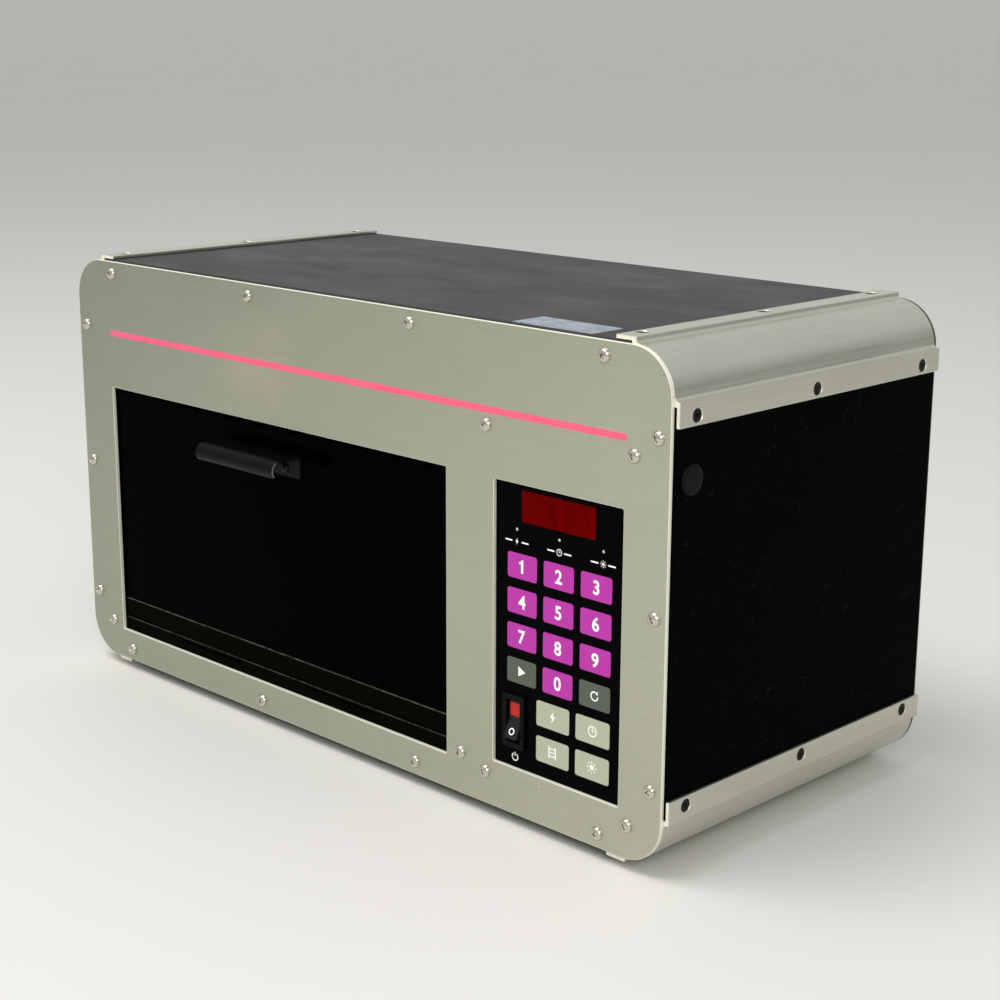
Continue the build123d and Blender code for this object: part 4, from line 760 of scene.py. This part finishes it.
# ---- end plates
PLATE_T = 2.0
CORNER = 22.0
DOOR_HOLE = (29.9, 307.3, 17.6, 163.1)
KEYPAD_HOLE = (339.4, 419.2, 23.4, 162.8)
INLET_V, FIRST_VENT_V, VENT_PITCH, VENTS = 40, 120, 11, 6


def make_front_plate():
    loops = [rounded(0, CASE_WIDTH, 0, CASE_HEIGHT, CORNER, 20), rounded(*DOOR_HOLE, 0.4, 3),
             rounded(*KEYPAD_HOLE, 1.0, 4)]
    mesh = front_slab(loops, 0, PLATE_T, bevel=0.22)
    piece(edges_of(mesh, "Y", front_metal, lit_cut_edge), "front_plate")


def make_stripe():
    """Pink printed line across the plate, with bare metal where lettering would be."""
    u0, u1, v, width = 30.5, 419.8, 194.7, 3.3
    loop = rounded(u0, u1, v - width / 2, v + width / 2, 0.3, 2)
    mesh = painted(front_slab([loop], -0.06, 0.02, bevel=0.02, rounds=0), ink_pink)
    piece(mesh, "front_plate", "front_stripe", replaces=False)


def make_back_plate():
    """Plate with the inlet's cut-out and a column of vent slots above it."""
    low, high = span("back_plate")
    u = middle("mains_inlet")[0]
    loops = [rounded(0, CASE_WIDTH, 0, CASE_HEIGHT, CORNER, 20)]
    loops.append(rounded(u - 13.8, u + 13.8, INLET_V - 10.1, INLET_V + 10.1, 1.5, 4))
    for i in range(VENTS):
        v = FIRST_VENT_V + i * VENT_PITCH
        loops.append(rounded(u - 21, u + 21, v - 2, v + 2, 1.9, 6))
    mesh = front_slab(loops, low.y, high.y, bevel=0.2)
    piece(edges_of(mesh, "Y", back_metal, back_edge), "back_plate")


# ---- corner rails
RAIL_T, FLANGE_T, FLANGE_WIDTH, FLANGE_WEB, PANEL_PROUD, SOFT, FILLET = 2.0, 2.0, 11.5, 2.5, 1.0, 0.5, 2.2
RAIL_SCREW_INSET = 29.0
RAIL_SCREW_D = (13.8, 100.2, 186.6)


def half_rail():
    """Top right rail's outline from the middle of its arc to its upper flange, about the arc's centre."""
    low = CORNER + PANEL_PROUD
    high = low + FLANGE_T
    fillet_y = math.sqrt((CORNER + FILLET) ** 2 - FILLET ** 2)
    meets = math.degrees(math.atan2(fillet_y, FILLET))
    outer = arc(0, 0, CORNER, 45, meets, 14)
    outer += arc(FILLET, fillet_y, FILLET, meets + 180, 180, 6)[1:]
    outer += arc(-SOFT, high - SOFT, SOFT, 0, 90, 4)
    outer += arc(-FLANGE_WIDTH + SOFT, high - SOFT, SOFT, 90, 180, 4)
    outer += arc(-FLANGE_WIDTH + SOFT, low + SOFT, SOFT, 180, 270, 4)
    outer += [(-FLANGE_WEB, low), (-FLANGE_WEB, CORNER - RAIL_T)]
    return outer + arc(0, 0, CORNER - RAIL_T, 90, 45, 14)


def rail_outline(right, top):
    """Whole rail outline in u and v at one of the four corners."""
    upper = half_rail()
    mirrored = [(y, x) for x, y in reversed(upper)]
    points = upper + mirrored[1:-1]
    side = 1 if right else -1
    rise = 1 if top else -1
    u = CASE_WIDTH - CORNER if right else CORNER
    v = CASE_HEIGHT - CORNER if top else CORNER
    return [(u + side * x, v + rise * y) for x, y in points]


def rail_hole_cutter(right, top):
    """Countersinks and screw holes of one rail."""
    profile = [(0, -1.2), (3.1, -1.2), (3.1, -0.35), (3.55, 0.1), (3.55, 1.0), (0, 1.0)]
    proud = PANEL_PROUD + FLANGE_T
    side_u = CASE_WIDTH + proud if right else -proud
    top_v = CASE_HEIGHT + proud if top else -proud
    near_u = CASE_WIDTH - RAIL_SCREW_INSET if right else RAIL_SCREW_INSET
    near_v = CASE_HEIGHT - RAIL_SCREW_INSET if top else RAIL_SCREW_INSET
    parts = []
    for d in RAIL_SCREW_D:
        parts.append(lathe(profile, at(side_u, d, near_v), RIGHT if right else LEFT, 28))
        parts.append(lathe(profile, at(near_u, d, top_v), UP if top else DOWN, 28))
    return joined(*parts)


def make_rails():
    d0, d1 = PLATE_T, span("rail_top_right")[1].y
    for vertical, top in (("top", True), ("bottom", False)):
        for horizontal, right in (("right", True), ("left", False)):
            mesh = front_slab([rail_outline(right, top)], d0, d1, bevel=0.3)
            mesh = cut_from(mesh, rail_hole_cutter(right, top))
            piece(edges_of(mesh, "Y", lit_cut_edge, rail_metal), "rail_" + vertical + "_" + horizontal)


def make_rail_screws():
    screw = sunk_screw(2.9, 1.0, 1.5, 4.5)
    low, high = span("rail_screws")
    near_v, far_v = RAIL_SCREW_INSET, CASE_HEIGHT - RAIL_SCREW_INSET
    near_u, far_u = RAIL_SCREW_INSET, CASE_WIDTH - RAIL_SCREW_INSET
    groups = (
        ("left", (low.x,), (near_v, far_v)), ("right", (high.x,), (near_v, far_v)),
        ("down", (near_u, far_u), (low.z,)), ("up", (near_u, far_u), (high.z,)),
    )
    parts = []
    for seed, (facing, across, upward) in enumerate(groups, 7):
        places = [at(u, d, v) for d in RAIL_SCREW_D for u in across for v in upward]
        parts.append(screws(places, facing, screw, dark_screw, seed))
    piece(painted(smooth(joined(*parts)), dark_screw), "rail_screws")


# ---- panels, feet and plate screws
def make_panels():
    for node, finish in (("top_panel", top_black_painted_sheen), ("bottom_panel", side_black),
                         ("right_side_panel", side_black), ("left_side_panel", side_black)):
        soften(node, finish, 0.25)


def make_plug():
    _, d, v = middle("side_hole_plug")
    profile = [(0, -5), (5.9, -5), (6.3, -4.4), (6.3, 0), (7.0, 0), (7.0, 0.35), (6.75, 0.75), (6.2, 1.05),
               (5.2, 1.2), (0, 1.2)]
    mesh = lathe(profile, at(CASE_WIDTH + PANEL_PROUD, d, v), RIGHT, 48)
    piece(painted(mesh, plug_black), "side_hole_plug")


TOP_SCREWS = [(34.0 + i * 124.1, 228.7) for i in range(4)]
BOTTOM_SCREWS = [(38.5 + i * 122.8, 6.8) for i in range(4)]
SIDE_SCREWS = [(u, 36.6 + i * 80.2) for u in (6.8, 437.7) for i in range(3)]
HINGE_SCREWS = [(20.2, 21.2), (317.0, 21.2)]
KEYPAD_SCREWS = [(u, v) for u in (334.1, 424.5) for v in (16.3, 187.3)]


def make_plate_screws():
    front = [at(u, 0, v) for u, v in TOP_SCREWS + BOTTOM_SCREWS + SIDE_SCREWS + HINGE_SCREWS + KEYPAD_SCREWS]
    mesh = screws(front, "front", pan_screw(3.4, 2.1, 1.75, 6.5), screw_metal, 3)
    piece(mesh, "front_plate_screws", "front_screws_dressed")
    face = span("back_plate")[1].y
    back = [at(u, face, v) for u, v in TOP_SCREWS + BOTTOM_SCREWS + SIDE_SCREWS]
    mesh = screws(back, "back", pan_screw(3.2, 1.8, 1.75, 6.5), screw_metal, 5)
    piece(mesh, "back_plate_screws", "back_screws_dressed")


def make_feet():
    places = [at(u, d, -6) for u in (45, CASE_WIDTH - 45) for d in (32, 169)]
    foot = [(0, 2.5), (3.9, 2.5), (3.9, 0.4), (4.3, 0), (7.4, 0), (7.9, 0.25), (8.1, 0.7), (8.9, 4.6),
            (9.0, 5.0), (0, 5.0)]
    mesh = joined(*[lathe(foot, place, UP) for place in places])
    piece(smooth(painted(mesh, rubber)), "rubber_feet", "feet_dressed")
    seats = [place + Vector((0, 0, 1.5 * MM)) for place in places]
    mesh = screws(seats, "down", sunk_screw(3.4, 1.0, 1.5, 7.0), dark_screw, 11)
    piece(mesh, "foot_screws")


def make_blank_patch():
    """Blank foil patch on the top sheet, with a narrow strip cut off on its left."""
    place = at(372.5, 13.5, span("top_panel")[1].z + 0.05)
    parts = [slab([rounded(x0, x1, -10.5, 10.5, radius, 4)], "up", place, 0.12, 0.03, 0)
             for x0, x1, radius in ((-19.5, 24, 1.5), (-25, -19.7, 0.8))]
    piece(painted(joined(*parts), foil), "top_panel", "blank_patch", replaces=False)


# ---- door, hinge and handle
DOOR_FACE, LEAF_T = 3.0, 0.8
PIN_D, PIN_V, KNUCKLE = 4.2, 24.5, 2.0


def make_door():
    low, high = span("door_panel")
    loop = rounded(low.x, high.x, low.z, high.z, 0.6, 4)
    mesh = painted(front_slab([loop], low.y, high.y, bevel=0.45, rounds=3), door_black)
    piece(mesh, "door_panel", body="door")
    dress("door_strike", steel)
    dress("hinge_screws", dark_screw)


def hinge_leaf(node, name, body, first, v0, v1):
    """Hinge leaf with every second knuckle rolled round the pin."""
    low, high = span("door_panel")
    u0, u1 = low.x, high.x
    pitch = (u1 - u0) / 5
    loop = rounded(u0, u1, v0, v1, 0.3, 2)
    parts = [front_slab([loop], DOOR_FACE - LEAF_T, DOOR_FACE, bevel=0.15)]
    for i in range(first, 5, 2):
        start = u0 + i * pitch + 0.15
        parts.append(lathe(pin_profile(KNUCKLE, pitch - 0.3, 0.2), at(start, PIN_D, PIN_V), RIGHT, 32))
        neck = rounded(start, start + pitch - 0.3, min(PIN_V, v0, v1), max(PIN_V, v0, v1), 0.1, 1)
        parts.append(front_slab([neck], DOOR_FACE - LEAF_T + 0.02, DOOR_FACE - 0.02, bevel=0.1))
    piece(painted(smooth(joined(*parts)), hinge_metal), node, name, body=body)


def make_hinge():
    gap = KNUCKLE + 0.3
    hinge_leaf("hinge_moving_leaf", "moving_leaf_dressed", "door", 1, PIN_V + gap, PIN_V + 12.5)
    hinge_leaf("hinge_fixed_leaf", "fixed_leaf_dressed", "case", 0, PIN_V - 12.0, PIN_V - gap)
    low, high = span("hinge_pin")
    mesh = lathe(pin_profile(1.0, high.x - low.x), at(low.x, PIN_D, PIN_V), RIGHT, 24)
    piece(painted(mesh, steel), "hinge_pin")
    soften("hinge_rail", frame_black, 0.3)


def make_handle():
    """Finger pull with its flange, ledge and rolled lip."""
    low, high = span("door_handle")
    top, wall, flat, roll = high.z, 1.5, 15.0, 5.2
    turn = 135
    front = DOOR_FACE - flat
    centre_v = top - roll
    points = arc(DOOR_FACE - 0.3, top - 0.3, 0.3, 0, 90, 3)
    points += arc(front, centre_v, roll, 90, 90 + turn, 18)
    points += arc(front, centre_v, roll - wall, 90 + turn, 90, 18)
    points += [(DOOR_FACE - wall - 1.2, top - wall), (DOOR_FACE - wall, top - wall - 1.2)]
    points += [(DOOR_FACE - wall, top - 12.0), (DOOR_FACE, top - 12.0)]
    mesh = edges_of(side_bar([points], low.x, high.x, bevel=0.3), "X", lit_handle_end, handle_black)
    piece(mesh, "door_handle", body="door")
    v = middle("handle_screws")[2]
    places = [at(u, DOOR_FACE - wall, v) for u in (low.x + 12, high.x - 12)]
    mesh = screws(places, "front", pan_screw(2.6, 1.5, 1.4, 4.5), dark_screw, 17)
    piece(mesh, "handle_screws", body="door")


# ---- keypad
FILM_FACE = 2.0
KEY_RISE = 0.2
KEY_U = [356.45, 379.45, 402.45]
KEY_V = [123.2, 106.1, 89.0, 71.9]
MODE_U = [376.75, 401.55]
MODE_V = [54.65, 37.15]
LED_U = [352.8, 379.5, 406.2]
LED_V, LED_SIGN_V = 140.6, 134.8
WINDOW = (355.6, 401.4, 144.6, 159.7)
SWITCH_U, SWITCH_V = 352.45, 46.65
FIGURE_HEIGHT = 6.5


def make_keypad_film():
    low, high = span("keypad_overlay")
    loops = [rounded(low.x, high.x, low.z, high.z, 1.5, 4), rounded(*WINDOW, 0.8, 4),
             rounded(SWITCH_U - 6.4, SWITCH_U + 6.4, SWITCH_V - 11.5, SWITCH_V + 11.5, 0.5, 2)]
    mesh = painted(front_slab(loops, FILM_FACE, FILM_FACE + 0.7, bevel=0.08, rounds=1), film_black)
    purple = [(u, v) for v in KEY_V[:3] for u in KEY_U] + [(KEY_U[1], KEY_V[3])]
    dark = [(u, KEY_V[3]) for u in (KEY_U[0], KEY_U[2])]
    light = [(u, v) for v in MODE_V for u in MODE_U]
    piece(mesh, "keypad_overlay", "keypad_film")
    for name, keys, width, height, finish in (
            ("number_keys", purple, 18.7, 12.2, key_purple),
            ("start_reset_keys", dark, 18.7, 12.2, key_dark),
            ("mode_keys", light, 20.7, 12.5, key_light)):
        places = [at(u, FILM_FACE, v) for u, v in keys]
        mesh = fields(places, width, height, 1.3, KEY_RISE, finish)
        piece(mesh, "keypad_overlay", name, replaces=False)


def printed(loops, d):
    """Thin print standing a little proud of the surface at depth d."""
    return front_slab(loops, d - 0.05, d + 0.02, bevel=0.01, rounds=0)


def digit(text, u, v, height, d):
    """Bold figure centred on a place."""
    if text == "1":
        h, w = height, height * 0.22
        shape = ((-0.5, -0.5), (0.5, -0.5), (0.5, 0.5), (-0.2, 0.5), (-0.55, 0.36), (-1.35, 0.3),
                 (-1.35, 0.17), (-0.5, 0.17))
        return printed([[(u + x * w, v + y * h) for x, y in shape]], d)
    curve = bpy.data.curves.new("figure", "FONT")
    curve.body = text
    curve.size = height * MM / 0.72
    curve.align_x = curve.align_y = "CENTER"
    curve.offset = height * MM * 0.034
    curve.extrude = 0.03 * MM
    mesh = cleaned(baked(link(bpy.data.objects.new("figure", curve))))
    reach = [[vert.co[i] for vert in mesh.vertices] for i in (0, 1)]
    centre = Matrix.Translation([-(min(ends) + max(ends)) / 2 for ends in reach] + [0])
    mesh.transform(Matrix.Translation(at(u, d, v)) @ FACING["front"].to_4x4() @ centre)
    return mesh


def ring(x, y, outer, inner, count=28):
    return [arc(x, y, outer, 0, 360, count)[:-1], arc(x, y, inner, 0, 360, count)[:-1]]


def sector(x, y, outer, inner, start, end, count=20):
    """Open ring from one angle to another."""
    return [arc(x, y, outer, start, end, count) + arc(x, y, inner, end, start, count)]


def bar(x0, y0, x1, y1, width):
    """Straight stroke."""
    across = Vector((y0 - y1, x1 - x0)).normalized() * width / 2
    return [[(x0 - across.x, y0 - across.y), (x1 - across.x, y1 - across.y),
             (x1 + across.x, y1 + across.y), (x0 + across.x, y0 + across.y)]]


def sign_play(x, y, s):
    return [[[(x - 0.4 * s, y - 0.5 * s), (x + 0.5 * s, y), (x - 0.4 * s, y + 0.5 * s)]]]


def sign_back(x, y, s):
    """Open ring with an arrow head."""
    tip = [(x + 0.42 * s, y + 0.52 * s), (x + 0.08 * s, y + 0.36 * s), (x + 0.36 * s, y + 0.1 * s)]
    return [sector(x, y, 0.48 * s, 0.34 * s, 75, 360, 24), [tip]]


def sign_bolt(x, y, s):
    shape = [(0.12, 0.5), (-0.3, -0.06), (-0.04, -0.06), (-0.14, -0.5), (0.3, 0.1), (0.03, 0.1)]
    return [[[(x + a * s, y + b * s) for a, b in shape]]]


def sign_clock(x, y, s):
    long_hand = bar(x, y - 0.03 * s, x, y + 0.3 * s, 0.1 * s)
    return [ring(x, y, 0.5 * s, 0.39 * s), long_hand, bar(x + 0.05 * s, y, x + 0.22 * s, y, 0.1 * s)]


def sign_ladder(x, y, s):
    """Two strands with links across them."""
    strands = [bar(x + side * 0.34 * s, y - 0.48 * s, x + side * 0.34 * s, y + 0.48 * s, 0.12 * s)
               for side in (-1, 1)]
    return strands + [bar(x - 0.27 * s, y + i * 0.3 * s, x + 0.27 * s, y + i * 0.3 * s, 0.1 * s)
                      for i in (-1, 0, 1)]


def sign_sun(x, y, s):
    rays = []
    for i in range(8):
        turn = math.radians(45 * i)
        c, n = math.cos(turn), math.sin(turn)
        rays.append(bar(x + 0.34 * s * c, y + 0.34 * s * n, x + 0.52 * s * c, y + 0.52 * s * n, 0.09 * s))
    return [[arc(x, y, 0.22 * s, 0, 360, 20)[:-1]]] + rays


def sign_power(x, y, s):
    return [sector(x, y, 0.5 * s, 0.37 * s, 125, 415, 28), bar(x, y + 0.1 * s, x, y + 0.6 * s, 0.13 * s)]


def sign_mesh(sign, u, v, size, d):
    """Printed sign, made of separate filled shapes."""
    return joined(*[printed(loops, d) for loops in sign(u, v, size)])


def make_legends():
    """White figures and plain signs on the keys, and small signs under the three lights."""
    face = FILM_FACE - KEY_RISE
    figures = [digit(str(3 * row + column + 1), KEY_U[column], KEY_V[row], FIGURE_HEIGHT, face)
               for row in range(3) for column in range(3)]
    figures.append(digit("0", KEY_U[1], KEY_V[3], FIGURE_HEIGHT, face))
    piece(painted(joined(*figures), ink_white), "keypad_overlay", "key_figures", replaces=False)
    signs = [sign_mesh(sign, u, v, size, d) for sign, u, v, size, d in (
        (sign_play, KEY_U[0], KEY_V[3], 5.0, face), (sign_back, KEY_U[2], KEY_V[3], 5.0, face),
        (sign_bolt, MODE_U[0], MODE_V[0], 6.0, face), (sign_clock, MODE_U[1], MODE_V[0], 5.4, face),
        (sign_ladder, MODE_U[0], MODE_V[1], 6.0, face), (sign_sun, MODE_U[1], MODE_V[1], 5.8, face),
        (sign_power, SWITCH_U, 28.4, 4.2, FILM_FACE))]
    for u, sign in zip(LED_U, (sign_bolt, sign_clock, sign_sun)):
        signs.append(sign_mesh(sign, u, LED_SIGN_V, 3.4, FILM_FACE))
        for side in (-1, 1):
            dash = bar(u + side * 3.0, LED_SIGN_V, u + side * 7.4, LED_SIGN_V, 0.7)
            signs.append(printed(dash, FILM_FACE))
    piece(painted(joined(*signs), ink_white), "keypad_overlay", "key_signs", replaces=False)


def make_window_and_lights():
    window = front_slab([rounded(*WINDOW, 0.9, 4)], FILM_FACE + 0.15, FILM_FACE + 2.2, 0.06, 1)
    piece(painted(window, red_window), "display_window")
    lens = [(0, 0.2), (0.75, 0.2), (0.75, 0), (0.6, -0.12), (0.3, -0.18), (0, -0.2)]
    lenses = [lathe(lens, at(u, FILM_FACE, LED_V), BACK, 20) for u in LED_U]
    piece(painted(joined(*lenses), lens_clear), "indicator_leds", "led_lenses", replaces=False)
    dress("indicator_leds", led_red)


def make_switch():
    soften("switch_housing", switch_black, 0.3, 3)
    soften("power_rocker", rocker_grey, 0.35, 3, "rocker")
    soften("rocker_flag", flag_red, 0.08, body="rocker")


def make_rocker_mark():
    """White ring on the rocker's lower face, which stands out at rest."""
    pivot_d, half, front, tip, rest, share = 4.5, 9.4, 2.6, 4.6, 12.0, 0.62
    slope = math.atan2(tip - front, half)
    mark = slab(ring(0, 0, 1.75, 1.15), "front", Vector(), 0.08, 0.01, 0)
    place = Vector((0, -(front + (tip - front) * share) * MM, -half * share * MM))
    lean = Matrix.Rotation(-slope, 4, "X")
    turn = Matrix.Rotation(math.radians(-rest), 4, "X")
    pivot = Matrix.Translation(at(SWITCH_U, pivot_d, SWITCH_V))
    mark.transform(pivot @ turn @ Matrix.Translation(place) @ lean)
    piece(painted(mark, ink_white), "power_rocker", "rocker_ring", body="rocker", replaces=False)


# ---- chamber
def make_chamber():
    for node, finish, bevel in (("chamber_liner", liner_metal, 0.2), ("lamp_reflector", mirror_metal, 0.15),
                                ("door_frame", frame_black, 0.2), ("lampholders", white_plastic, 0.5),
                                ("door_seal", foam, 0.2), ("catch_magnet", catch_black, 0.4),
                                ("interlock_switch", catch_black, 0.4)):
        soften(node, finish, bevel)


def make_lamps():
    """Quartz tubes with their caps, pins and end coils."""
    low, high = span("uv_lamps")
    v, length, radius, lamps = (low.z + high.z) / 2, high.x - low.x, 7.75, 5
    first, last = low.y + radius, high.y - radius
    depths = [first + (last - first) * i / (lamps - 1) for i in range(lamps)]
    outer = [(7.15, 0), (radius, 0), (radius, length), (7.15, length), (6.95, length), (6.95, 0), (7.15, 0)]
    cap = [(0, -0.4), (7.0, -0.4), (8.0, -0.1), (8.05, 0.3), (8.05, 7.2), (7.5, 7.9), (6.6, 8.0), (0, 8.0)]
    stem = [(0, 0), (2.6, 0), (2.2, 9), (0.9, 12), (0, 12)]
    tubes, caps, coils = [], [], []
    for d in depths:
        tubes.append(lathe(outer, at(low.x, d, v), RIGHT))
        for end, sign, out, inward in ((low.x, -1, LEFT, RIGHT), (high.x, 1, RIGHT, LEFT)):
            caps.append(lathe(cap, at(end, d, v), out, 36))
            for side in (-1, 1):
                place = at(end + sign * 7.8, d, v + side * 2.5)
                caps.append(lathe(pin_profile(1.0, 6.2, 0.4), place, out, 14))
            coils.append(lathe(stem, at(end, d, v), inward, 20))
            coils.append(lathe(pin_profile(0.8, 7.0, 0.2), at(end - sign * 14, d - 3.5, v), BACK, 12))
            for side in (-1, 1):
                coils.append(lathe(pin_profile(0.35, 15.0, 0.1), at(end, d + side * 2.6, v), inward, 8))
    piece(painted(joined(*tubes), quartz), "uv_lamps")
    piece(painted(joined(*caps), cap_metal), "lamp_caps")
    piece(painted(joined(*coils), steel), "lamp_caps", "lamp_electrodes", replaces=False)


def make_sensor():
    _, d, v = middle("uv_sensor")
    place = at(span("uv_sensor")[0].x + 2.0, d, v)
    rim = [(0, 1.2), (5.4, 1.2), (5.8, 2.0), (7.4, 2.0), (8.0, 1.4), (8.0, 0), (5.0, 0), (5.0, -14), (0, -14)]
    window = [(0, 1.25), (5.3, 1.25), (5.3, 1.45), (0, 1.6)]
    mesh = joined(lathe(rim, place, LEFT), lathe(window, place, LEFT, 32))
    piece(painted(mesh, sensor_steel), "uv_sensor")


def make_plunger():
    u, _, v = middle("interlock_plunger")
    tip = at(u, span("interlock_plunger")[0].y, v)
    profile = [(0, 0), (0.7, 0.08), (1.2, 0.4), (1.5, 0.9), (1.5, 8.0), (0, 8.0)]
    piece(painted(lathe(profile, tip, BACK, 28), white_plastic), "interlock_plunger", body="plunger")


# ---- rear fittings and inner pieces
def make_inlet():
    soften("mains_inlet", inlet_black, 0.35)
    low, high = span("inlet_screws")
    v = middle("inlet_screws")[2]
    places = [at(u, high.y, v) for u in (low.x + 1.5, high.x - 1.5)]
    mesh = screws(places, "back", sunk_screw(2.7, 0.9, 1.5, 7.0), dark_screw, 23)
    piece(mesh, "inlet_screws")


def dress_inner_pieces():
    """Finishes of what the closed case hides."""
    finishes = {
        "uv_sensor_nut": sensor_steel, "keypad_plate": mill_metal, "keypad_spacers": white_plastic,
        "keypad_tail": tail_film, "display_module": display_dark, "control_board": solder_mask,
        "board_components": relay_black, "board_standoffs": brass, "board_screws": screw_metal,
        "ballast_plate": zinc, "ballasts": enamel, "starter_sockets": white_plastic, "starters": cap_metal,
        "transformer_core": laminations, "transformer_coil": tape,
    }
    for node, finish in finishes.items():
        dress(node, finish)


# ---- stage, light and camera
def make_floor():
    mesh = bpy.data.meshes.new("floor")
    half = 60.0
    corners = [(-half, -half, 0), (half, -half, 0), (half, half, 0), (-half, half, 0)]
    mesh.from_pydata(corners, [], [(0, 1, 2, 3)])
    finish = Finish("pale_floor", tone(212, 211, 208), 0.6, specular=0.2)
    finish.paint(finish.grain((400, 400, 400)), tone(211, 210, 207), tone(214, 213, 210))
    floor = link(bpy.data.objects.new("floor", painted(mesh, finish)))


def make_light(name, place, target, size, power):
    """Softbox at a place, turned to its target."""
    light = bpy.data.lights.new(name, "AREA")
    light.shape = "RECTANGLE"
    light.size, light.size_y = size
    light.energy = power
    light.color = (1.0, 0.99, 0.96)
    lamp = link(bpy.data.objects.new(name, light))
    lamp.location = place
    lamp.rotation_euler = (Vector(target) - Vector(place)).to_track_quat("-Z", "Y").to_euler()


def make_studio():
    """Pale walls, brighter overhead, as dim as the far floor at the horizon, dimmest low behind the right."""
    world = bpy.data.worlds.new("studio")
    scene.world = world
    world.use_nodes = True
    tree = world.node_tree
    back = tree.nodes["Background"]
    back.inputs["Strength"].default_value = 1.0
    outward = add_node(tree, "ShaderNodeTexCoord").outputs["Generated"]
    upward = add_node(tree, "ShaderNodeSeparateXYZ", {"Vector": outward}).outputs["Z"]
    aside = add_node(tree, "ShaderNodeVectorMath", {0: outward, 1: (0.80, 0.60, 0.0)},
                     operation="DOT_PRODUCT")
    low_down = ranged(tree, upward, 0.02, 0.42, 1.0, 0.0, "SMOOTHSTEP")
    behind = ranged(tree, aside.outputs["Value"], 0.55, 0.95, 0.0, 1.0, "SMOOTHSTEP")
    shade = maths(tree, low_down, behind, "MULTIPLY")
    height = ranged(tree, upward, 0.0, 0.22, 0.0, 1.0, "SMOOTHSTEP")
    wall = mixed(tree, height, tone(180, 180, 176), tone(212, 212, 211))
    tree.links.new(mixed(tree, shade, wall, tone(98, 98, 96)), back.inputs["Color"])


def make_lights():
    make_studio()
    make_light("softbox_above", (-0.4, -0.9, 2.3), (0, 0, 0.1), (1.6, 1.2), 38)
    make_light("softbox_right", (1.5, -1.3, 1.1), (0.1, 0, 0.1), (0.8, 0.8), 15)


CAMERA_PLACE = (0.71645, -0.6946, 0.3737)
CAMERA_AHEAD = (-0.6822, 0.6886, -0.2459)
CAMERA_RIGHT = (0.7097, 0.7045, 0.0043)
CAMERA_LENS = 67.92


def make_camera():
    camera = bpy.data.cameras.new("camera")
    camera.sensor_width = 36.0
    camera.lens = CAMERA_LENS
    camera.clip_start = 0.01
    holder = link(bpy.data.objects.new("camera", camera))
    ahead = Vector(CAMERA_AHEAD).normalized()
    right = Vector(CAMERA_RIGHT)
    right = (right - right.dot(ahead) * ahead).normalized()
    up = right.cross(ahead)
    turn = Matrix((right, up, -ahead)).transposed()
    holder.matrix_world = Matrix.Translation(CAMERA_PLACE) @ turn.to_4x4()
    scene.camera = holder


# ---- everything
make_camera()
make_floor()
make_lights()
scene.view_settings.view_transform = "Standard"

make_front_plate()
make_stripe()
make_back_plate()
make_rails()
make_rail_screws()
make_panels()
make_plug()
make_plate_screws()
make_feet()
make_blank_patch()

make_door()
make_hinge()
make_handle()
make_keypad_film()
make_legends()
make_window_and_lights()
make_switch()
make_rocker_mark()

make_chamber()
make_lamps()
make_sensor()
make_plunger()
make_inlet()
dress_inner_pieces()
